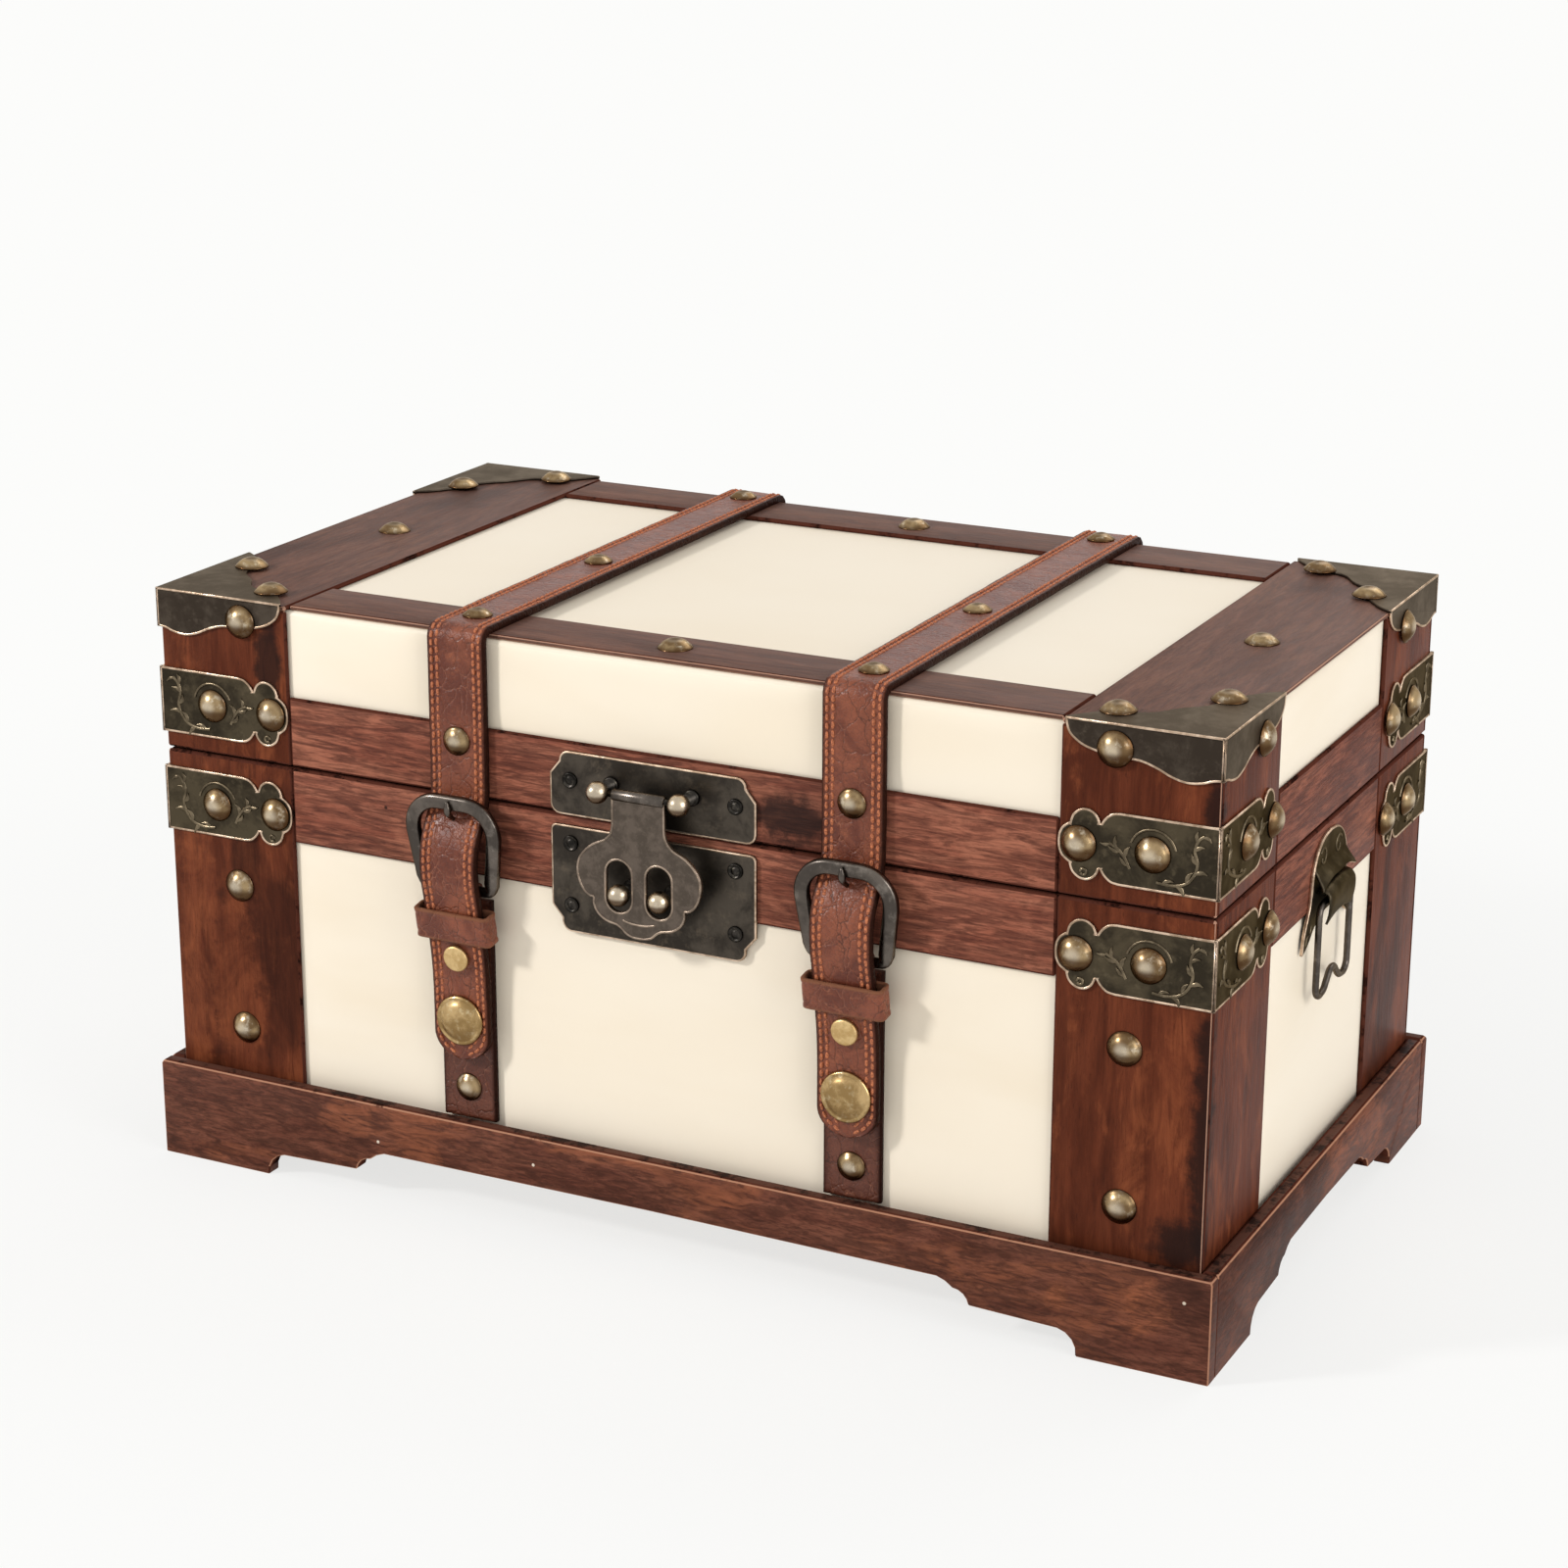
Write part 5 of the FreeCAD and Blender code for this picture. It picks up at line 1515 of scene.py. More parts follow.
@dataclass
class WoodAndCovering:
    """Boards, pale covering, wood strips and plinth."""

    shop: Workshop
    strip_edge: float = 0.35
    plinth_edge: float = 0.4
    pillow: float = 0.9
    rim: float = 153.0
    plinth_top: float = 36.0
    base_rail: float = 125.5
    lid_rail: float = 178.0
    lid_top: float = 208.3
    field_lines: tuple[tuple[int, float], ...] = (
        (0, 141.5), (0, 138.0), (0, 130.0), (0, 120.0), (0, 105.0), (0, 95.0), (0, 90.0), (0, 85.0),
        (0, 61.0), (0, 56.0), (0, 51.0), (0, 40.0), (0, 20.0),
        (1, 53.5), (1, 50.0), (1, 45.0), (1, 30.0), (1, 15.0),
    )
    plinth_pins: tuple[Point, ...] = ((191.0, 27.0), (-45.0, 26.0), (-108.0, 22.0))

    def build(self) -> None:
        """Dress every wooden piece."""
        self.boards()
        self.strips()
        self.plinth()
        self.coverings()

    def boards(self) -> None:
        """Plain boards of the box and the lid, seen when the lid is open."""
        palette = self.shop.palette
        for node in frame["nodes"]:
            if node.endswith("_wall") or node in ("bottom_panel", "lid_top_panel"):
                level = Grain.ALONG_X if node.endswith("_panel") else Grain.LEVEL
                piece = copy_of(node, "sawn")
                soften(piece, 0.4)
                # Painted shade on the faces in the gap between box and lid.
                self.stain_rim(piece)
                number_boards(piece)
                wood = palette.get(palette.board, level)
                dress(piece, body_of(node), [wood, wood, *palette.paint("seam")], [node])

    def stain_rim(self, piece: Piece) -> None:
        """Paint shade on the faces in the gap between box and lid, with the dark seam finish."""
        for side in piece.data.polygons:
            if abs(side.center.z / MM - self.rim) < 1.5:
                side.material_index = 2

    def strips(self) -> None:
        """Stained strips over the covering."""
        for node, finish, grain in (
            ("base_corner_stiles", "post", Grain.UPRIGHT), ("lid_corner_stiles", "post", Grain.UPRIGHT),
            ("base_rim_rails", "rail", Grain.LEVEL), ("lid_rim_rails", "rail", Grain.LEVEL),
            ("lid_top_rails", "top", Grain.ALONG_X), ("lid_end_boards", "top", Grain.ALONG_Y),
        ):
            wood = self.shop.palette.get(getattr(self.shop.palette, finish), grain)
            edges = self.shop.palette.paint("wood_edge", "seam")
            edged_copy(node, [wood, *edges], self.strip_edge)

    def plinth(self) -> None:
        """Plinth boards with rubbed edges and the ends of small pins."""
        palette = self.shop.palette
        finishes = [palette.get(palette.plinth, Grain.LEVEL), *palette.paint("plinth_edge", "seam", "ledge")]
        for side in ("front", "rear", "left", "right"):
            edged_copy(f"plinth_{side}_board", finishes, self.plinth_edge)
        low, _ = span("plinth_front_board")
        heads = [(Vector((a, low.y, z)), Vector((0, -1, 0))) for a, z in self.plinth_pins]
        pin = self.shop.pattern("pin_end", [(0.62, -0.3), (0.62, 0.0), (0.35, 0.08), (0.0, 0.1)], 10)
        pins = points_object("plinth_pin_ends", heads)
        self.shop.heads.run(pins, {"Head": pin, "Seed": 3, "Finish": palette.get(palette.pin)})
        dress(pins, "base", palette.paint("pin"))

    def coverings(self) -> None:
        """The covering, padded so that each field between the strips swells a little."""
        for node, low, high in (
            ("base_covering", self.plinth_top, self.base_rail),
            ("lid_covering", self.lid_rail, self.lid_top),
        ):
            piece = copy_of(node, "padded")
            build = bmesh.new()
            build.from_mesh(piece.data)
            lines = [(axis, sign * at) for axis, at in self.field_lines for sign in (-1, 1)]
            lines += [(2, low), (2, high)]
            lines += [(2, low + (high - low) * share) for share in (0.25, 0.5, 0.75)]
            lines += [(2, low + 3.0), (2, high - 3.0), (2, high - 6.0)]
            # Cuts that bound the painted shade in the gap between box and lid.
            lines += [(2, self.rim - 2.0), (2, self.rim + 2.0)]
            for axis, at in lines:
                aim = Vector([1.0 if k == axis else 0.0 for k in range(3)])
                bmesh.ops.bisect_plane(
                    build, geom=build.verts[:] + build.edges[:] + build.faces[:], dist=1e-6,
                    plane_co=spot(*[at if k == axis else 0.0 for k in range(3)]), plane_no=aim,
                )
            for vert in build.verts:
                vert.co += self.swell(centred(vert.co), low, high) * MM
            build.to_mesh(piece.data)
            build.free()
            # Painted shade on the covering in the gap between box and lid.
            self.stain_rim(piece)
            for side in piece.data.polygons:
                side.use_smooth = side.material_index == 0
            piece.data.set_sharp_from_angle(angle=math.radians(32))
            self.shop.dress(piece, node, "cream_covering", "covering", "covering", "seam")

    def swell(self, at: Vector, low: float, high: float) -> Vector:
        """How far a point of the covering stands proud of the flat sheet.

        Args:
            at: The point, about the middle of the trunk's box.
            low: Lower edge of the field.
            high: Upper edge of the field.

        Returns:
            The move, in millimetres.
        """
        def fade(gap: float, over: float = 7.0) -> float:
            """0 at an edge, 1 well inside it."""
            share = min(max(gap / over, 0.0), 1.0)
            return share * share * (3 - 2 * share)

        upright = fade(at.z - low) * fade(high - at.z, 4.0)
        move = Vector((0, 0, 0))
        if abs(abs(at.y) - 107.3) < 0.1 and abs(at.x) < 142:
            straps = fade(abs(abs(at.x) - STRAP_PLACE) - 11.0)
            move.y = math.copysign(upright * fade(142 - abs(at.x)) * straps * self.pillow, at.y)
        if abs(abs(at.x) - 192.3) < 0.1 and abs(at.y) < 54:
            move.x = math.copysign(upright * fade(54 - abs(at.y)) * self.pillow, at.x)
        return move


# --- Corner fittings and nails ---


@dataclass
class CornerFittings:
    """Stamped brackets, top corner caps, their scrollwork and every domed nail."""

    shop: Workshop
    nail_width: float = 12.0
    nail_height: float = 3.3
    strap_nail_width: float = 10.3
    strap_nail_height: float = 2.55
    rim: float = 0.64
    sink: float = 0.14
    relief: float = 0.46

    def build(self) -> None:
        """Dress the sheets, raise the scrollwork and set the nails."""
        self.sheets()
        self.scrollwork()
        self.nails()

    def bracket_outline(self) -> list[Point]:
        """One arm of a bracket.

        Returns:
            Way from the corner, and height about the arm's middle.
        """
        half = rounded([(31.5, 11.75), (34.2, 11.3), (36.2, 9.9), (37.4, 8.4), (38.0, 7.3)], 3)
        half += rounded([(38.0, 7.3), (39.2, 9.9), (41.6, 11.5), (44.6, 11.4), (47.2, 9.4), (48.2, 6.6)], 3)
        half += rounded([(48.2, 6.6), (50.5, 4.9), (51.7, 2.6), (52.0, 0.0)], 3)
        return [(-1.0, 11.75)] + half + [(a, -b) for a, b in reversed(half[:-1])] + [(-1.0, -11.75)]

    def flange_outline(self, longer: float) -> list[Point]:
        """The waved flange of a cap: way from the corner, and height about the trunk's top.

        Args:
            longer: How much longer the arm is than the front one.

        Returns:
            The closed outline.
        """
        wave = rounded([
            (50.5, 0.2), (50.2, -1.8), (48.9, -4.6), (45.3, -7.3), (40.9, -8.8), (36.0, -9.6), (30.0, -9.9),
            (25.3, -10.3), (20.5, -11.8), (15.7, -13.9), (10.8, -15.0), (6.0, -14.5), (2.4, -13.3),
            (-1.0, -12.9),
        ], 4)
        moved = [(a + longer * min(max(a / 50.5, 0.0), 1.0), b) for a, b in wave]
        return [(-1.0, 0.95), (50.5 + longer, 0.95)] + moved

    def sheets(self) -> None:
        """Brackets and caps, folded from smooth stamped outlines."""
        bracket = self.bracket_outline()
        faces = (
            (Face.FRONT, (0, -HALF_DEPTH, 0), HALF_LENGTH, 0.0),
            (Face.REAR, (0, HALF_DEPTH, 0), HALF_LENGTH, 0.0),
            (Face.RIGHT, (HALF_LENGTH, 0, 0), HALF_DEPTH, 4.0),
            (Face.LEFT, (-HALF_LENGTH, 0, 0), HALF_DEPTH, 4.0),
        )
        crown = [(-0.93, -0.93), (50.5, -0.93)] + rounded([
            (50.5, 0.0), (47.5, 4.0), (43.0, 9.0), (38.3, 12.4), (32.0, 13.2), (27.0, 16.4), (22.5, 23.0),
            (16.5, 28.6), (13.6, 34.0), (12.4, 40.0), (8.0, 46.5), (4.0, 51.5), (0.0, 54.5),
        ], 3) + [(-0.93, 54.5)]
        for node in ("base_corner_brackets", "lid_corner_brackets", "lid_corner_caps"):
            build = bmesh.new()
            low, high = span(node)
            middle = (low.z + high.z) / 2
            for side, origin, half, longer in faces:
                outline = bracket
                if node == "lid_corner_caps":
                    middle = TOP
                    outline = self.flange_outline(longer)
                for way in (-1, 1):
                    loop = [(way * (half - a), middle + b) for a, b in outline]
                    stamp(build, loop, side.at(*origin), 1.0, self.rim, self.sink)
            if node == "lid_corner_caps":
                for way_x, way_y in CORNERS:
                    loop = [(way_x * (HALF_LENGTH - a), way_y * (HALF_DEPTH - b)) for a, b in crown]
                    stamp(build, loop, Face.TOP.at(0, 0, TOP), 1.0, self.rim, 0.0, 0)
                build.normal_update()
                for side in build.faces:
                    at = side.calc_center_median() / MM
                    outer = abs(at.x) > HALF_LENGTH + 0.5 or abs(at.y - DEPTH_SHIFT) > HALF_DEPTH + 0.5
                    if outer and at.z > TOP + 0.6 and abs(side.normal.z) < 0.97:
                        side.material_index = 1
            piece = piece_from(f"{node}_stamped", build, False)
            tone = "cap" if node == "lid_corner_caps" else "bronze"
            self.shop.dress(piece, node, "dark_metal", tone, "bronze_edge")

    def dome_profile(self, width: float, height: float) -> list[Point]:
        """Profile of a nail head with a small rolled rim.

        Args:
            width: Width of the head.
            height: Its height.

        Returns:
            (radius, height) points from its foot to its top.
        """
        radius = width / 2
        ball = (radius ** 2 + height ** 2) / (2 * height)
        profile = [(radius * 0.96, -0.15), (radius, 0.12), (radius * 0.985, 0.4)]
        for share in (0.25, 0.45, 0.65, 0.8, 0.91, 0.98):
            level = height * share
            reach = math.sqrt(max(ball ** 2 - (ball - height + level) ** 2, 0.0))
            profile.append((reach * 0.985, level))
        return profile + [(0.0, height)]

    def centres(self, node: str) -> list[tuple[Vector, Vector]]:
        """Place and aim of each nail of a CAD node.

        Args:
            node: The node of nail heads.

        Returns:
            Feet of the heads in millimetres, and unit aims.
        """
        build = merged(node)
        build.verts.index_update()
        pairs = [[vert.index for vert in edge.verts] for edge in build.edges]
        groups: dict[int, list[Vector]] = {}
        for vert, part in zip(build.verts, loose_parts(pairs, len(build.verts))):
            groups.setdefault(part, []).append(centred(vert.co))
        build.free()
        heads = [self.foot_of(corners) for corners in groups.values()]
        return sorted(heads, key=lambda head: [round(level, 1) for level in head[0]])

    def foot_of(self, corners: Sequence[Vector]) -> tuple[Vector, Vector]:
        """Find how one head stands.

        Args:
            corners: Its points, in millimetres.

        Returns:
            Its foot and its unit aim.
        """
        low = Vector([min(corner[a] for corner in corners) for a in range(3)])
        high = Vector([max(corner[a] for corner in corners) for a in range(3)])
        size = high - low
        axis = min(range(3), key=lambda a: size[a])
        middle = (low + high) / 2
        ends = []
        for level in (low[axis], high[axis]):
            ring = [corner for corner in corners if abs(corner[axis] - level) < 0.01]
            ends.append(max((corner - middle).length for corner in ring))
        up = ends[0] > ends[1]
        middle[axis] = low[axis] if up else high[axis]
        aim = Vector((0, 0, 0))
        aim[axis] = 1.0 if up else -1.0
        return middle, aim

    def nails(self) -> None:
        """Replace every CAD nail with a smooth domed one."""
        palette = self.shop.palette
        brass = palette.get(palette.brass)
        large = self.shop.pattern("nail_head", self.dome_profile(self.nail_width, self.nail_height), 24)
        small_profile = self.dome_profile(self.strap_nail_width, self.strap_nail_height)
        small = self.shop.pattern("strap_nail_head", small_profile, 24)
        for seed, (node, head) in enumerate((
            ("base_dome_nails", large), ("lid_dome_nails", large),
            ("base_strap_nails", small), ("lid_strap_nails", small),
        )):
            nails = points_object(f"{node}_polished", self.centres(node))
            self.shop.heads.run(nails, {"Head": head, "Seed": 20 + seed, "Tilt": 0.02, "Finish": brass})
            self.shop.dress(nails, node, "antique_brass", "brass")

    def leaf(self, start: Point, turn: float, size: float) -> list[Point3]:
        """A small pointed leaf that grows from a stem.

        Args:
            start: Where it leaves the stem.
            turn: Its direction, in degrees.
            size: Its length, in millimetres.

        Returns:
            Its line, with the half width at each point.
        """
        line = []
        for step in range(8):
            share = step / 7
            bend = math.radians(turn + 35 * share)
            wide = size * 0.25 * math.sin(math.pi * min(share + 0.06, 1.0)) ** 0.8
            place = (start[0] + size * share * math.cos(bend), start[1] + size * share * math.sin(bend))
            line.append((*place, max(wide, 0.12)))
        return line

    def sprig(self, stem: Sequence[Point], sizes: Sequence[float]) -> list[list[Point3]]:
        """A curved stem with leaves on both sides.

        Args:
            stem: Points that the stem passes.
            sizes: Length of each leaf, from the foot to the tip.

        Returns:
            Lines of the stem and the leaves, with half widths.
        """
        line = rounded(stem, 6)
        lines = [[(a, b, 0.66) for a, b in line]]
        for index, size in enumerate(sizes):
            at = min(round((index + 0.5) * len(line) / len(sizes)), len(line) - 2)
            run = Vector(line[at + 1]) - Vector(line[at])
            turn = math.degrees(math.atan2(run.y, run.x)) + (24 if index % 2 else -58)
            lines.append(self.leaf(line[at], turn, size))
        return lines

    def scrolls(self, near: float) -> list[list[Point3]]:
        """Vine for one arm of a bracket, drawn from the corner outwards.

        Args:
            near: Distance of the nearer nail from the corner.

        Returns:
            Lines in the arm's plane, with half widths.
        """
        lines = self.sprig([
            (near - 1.5, -8.6), (near - 6, -8.9), (near - 10.5, -7.8), (7.6, -5.0), (6.4, -1.0), (7.4, 3.0),
            (6.4, 6.6), (4.4, 8.4),
        ], [3.8, 4.2, 4.4, 4.4, 4.0, 3.8, 3.6, 3.2])
        lines += self.sprig(
            [(near + 7.4, -5.6), (near + 9.0, -2.4), (near + 11.4, 0.2), (near + 14.2, 1.6)],
            [3.8, 4.2, 4.2, 3.8, 3.2],
        )
        for centre, radius, start, end in (((near, 0.4), 7.6, 20, 165), ((43.2, -8.9), 1.0, 0, 330)):
            lines.append([(a, b, 0.5) for a, b in arc(centre, radius, start, end, 16)])
        return lines

    def scrollwork(self) -> None:
        """Raise a low vine on every bracket."""
        palette = self.shop.palette
        for node in ("base_corner_brackets", "lid_corner_brackets"):
            low, high = span(node)
            middle = (low.z + high.z) / 2
            lines = []
            for way_x, way_y in CORNERS:
                for near, on_front in ((20.8, True), (23.8, False)):
                    for line in self.scrolls(near):
                        drawn = []
                        for a, b, wide in line:
                            out = 1.0 - self.sink + self.relief - wide
                            reach = (-a, out) if on_front else (out, -a)
                            x, y = HALF_LENGTH + reach[0], HALF_DEPTH + reach[1]
                            drawn.append((spot(way_x * x, way_y * y, middle + b), wide * MM))
                        lines.append(drawn)
            ridges = lines_object(f"{node}_scrollwork", lines)
            # The vine takes the lighter relief bronze, a painted highlight.
            self.shop.ridges.run(ridges, {"Finish": palette.get(palette.relief)})
            dress(ridges, body_of(node), palette.paint("relief"))


# --- Leather straps and buckled flaps ---


@dataclass
class Straps:
    """Stitched straps over the lid that hang as buckled flaps, and the straps below them."""

    shop: Workshop
    centre: float = STRAP_PLACE
    width: float = 22.0
    thick: float = 2.8
    lower_width: float = 21.0
    lower_thick: float = 2.6
    tip_round: float = 9.0
    stitch_in: float = 2.7
    stitch_row: float = 2.1
    stitch_pitch: float = 2.9
    back: tuple[Point, ...] = (
        (-109.0, 166.0), (-109.2, 160.0), (-109.4, 154.5), (-110.6, 149.3), (-113.7, 144.0),
        (-116.5, 139.0), (-117.8, 133.0), (-117.5, 125.0), (-116.2, 119.0), (-114.3, 108.5),
        (-112.5, 98.0), (-111.7, 90.0), (-111.4, 82.0), (-111.4, 70.0), (-111.4, 59.5),
    )

    def over_lid(self) -> list[Point]:
        """Inner line of the strap from low on the back to the flap's tip.

        Returns:
            The line as (y, z).
        """
        line = [(HALF_DEPTH, 158.2), (HALF_DEPTH, 190.0)] + arc((106.6, 207.6), 2.4, 0, 90, 5)
        line += [(90.0, TOP), (-90.0, TOP)] + arc((-106.6, 207.6), 2.4, 90, 180, 5)
        return line + [(-HALF_DEPTH, 190.0)] + rounded(self.back, 6)

    def section(self, half: float, thick: float) -> list[Point3]:
        """Outline of the strap's section with a low crown and pressed seams.

        Args:
            half: Half width.
            thick: Thickness at the crown.

        Returns:
            (across, out, edge share) points, counter-clockwise.
        """
        groove = half - self.stitch_in
        face = [
            (half, thick * 0.45, 1.0), (half, thick * 0.72, 1.0), (half - 0.35, thick * 0.92, 1.0),
            (half - 0.9, thick * 0.985, 0.55), (half - 1.6, thick * 0.96, 0.15),
            (groove, thick * 0.87, 0.0), (groove - 1.0, thick * 0.93, 0.0),
            (groove - 2.4, thick * 0.98, 0.0), (half * 0.35, thick, 0.0), (0.0, thick, 0.0),
        ]
        loop = [(-half * 0.6, 0.0, 0.0), (half * 0.6, 0.0, 0.0), (half - 0.2, 0.0, 1.0)]
        loop += face + [(-a, b, e) for a, b, e in reversed(face[:-1])]
        return loop + [(-half + 0.2, 0.0, 1.0)]

    def paces(self, line: Sequence[Point]) -> list[tuple[Point, Vector, float, float]]:
        """Even steps along a strap.

        Args:
            line: Its inner line.

        Returns:
            Each point with the way out of the leather, the run up to it and the rest of the line.
        """
        path = spaced(line, 1.3)
        runs = list(accumulate(map(math.dist, path, path[1:]), initial=0.0))
        return [(point, outward(path, k), runs[k], runs[-1] - runs[k]) for k, point in enumerate(path)]

    def band(
        self, name: str, line: Sequence[Point], centre: float, half: float, thick: float,
        tip_round: float = 0.0, seed: int = 1,
    ) -> Piece:
        """A strap along a line.

        Args:
            name: Name of the piece.
            line: Its inner line as (y, z), in millimetres.
            centre: Its X.
            half: Half width.
            thick: Thickness.
            tip_round: Length over which its end is rounded off.
            seed: Seed of its creases.

        Returns:
            The piece, with an edge attribute.
        """
        shape = self.section(half, thick)
        rings, marks = [], []
        for (y, z), out, run, left in self.paces(line):
            share = 1.0
            if left < tip_round:
                share = math.sqrt(max(1 - ((tip_round - left) / tip_round) ** 2, 0.012))
            ring = []
            for across, level, edge in shape:
                where = Vector((across * 0.09, run * 0.09, seed * 7.3))
                dent = noise.noise(where) * 0.16 + noise.noise(where * 3.1) * 0.09
                level = level + dent * (1.0 if level > thick * 0.8 else 0.0) - 0.12 * (level > 0)
                flat = out * level
                ring.append(spot(centre + across * share, y + flat.x, z + flat.y))
                marks.append(edge)
            rings.append(ring)
        build = bmesh.new()
        sweep(build, rings)
        piece = piece_from(name, build)
        mark_points(piece, "edge", marks)
        return piece

    def seams(self, name: str, line: Sequence[Point], centre: float) -> Piece:
        """Rows of stitches near both edges of a strap over the lid.

        Args:
            name: Name of the piece.
            line: The strap's inner line.
            centre: Its X.

        Returns:
            The piece.
        """
        lines = []
        for inset in (self.stitch_in - self.stitch_row * 0.4, self.stitch_in + self.stitch_row * 0.6):
            reach = self.width / 2 - inset
            for way in (-1, 1):
                dots = []
                for (y, z), out, _, rest in self.paces(line):
                    left = rest - inset
                    share = 1.0
                    if left < 0:
                        break
                    if left < self.tip_round:
                        share = math.sqrt(max(1 - ((self.tip_round - left) / self.tip_round) ** 2, 0.0))
                    out = out * (self.thick * 0.9 - 0.05)
                    dots.append(spot(centre + way * reach * share, y + out.x, z + out.y))
                lines.append(dots)
        piece = lines_object(name, lines)
        self.shop.stitches.run(piece, {
            "Stitch": self.stitch(), "Pitch": self.stitch_pitch * MM,
            "Finish": self.shop.palette.get(self.shop.palette.thread),
        })
        return piece

    def stitch(self) -> Piece:
        """One stitch: a short thread that dives at both ends.

        Returns:
            The pattern piece.
        """
        half = self.stitch_pitch * 0.42
        profile = [(0.0, -half), (0.38, -half * 0.86), (0.56, -half * 0.5), (0.6, 0.0)]
        profile += [(0.56, half * 0.5), (0.38, half * 0.86), (0.0, half)]
        return self.shop.pattern("stitch", profile, 7)

    def build(self) -> None:
        """Make both straps with their flaps."""
        leather = self.shop.palette.get(self.shop.palette.leather)
        line = self.over_lid()
        low_line = [(-107.3, 117.0), (-107.3, 36.2)]
        for seed, (name, way) in enumerate(SIDES):
            centre = way * self.centre
            half = self.width / 2
            strap = self.band(
                f"lid_strap_{name}_leather", line, centre, half, self.thick, self.tip_round, seed + 1
            )
            strap.data.materials.append(leather)
            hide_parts(f"lid_strap_{name}", f"strap_tongue_{name}")
            seam = self.seams(f"lid_strap_{name}_stitching", line, centre)
            for piece in (strap, seam):
                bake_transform(piece)
            half = self.lower_width / 2
            lower = self.band(
                f"base_strap_{name}_leather", low_line, centre, half, self.lower_thick, 0.0, seed + 5
            )
            self.shop.dress(lower, f"base_strap_{name}", "strap_leather", "low_leather")


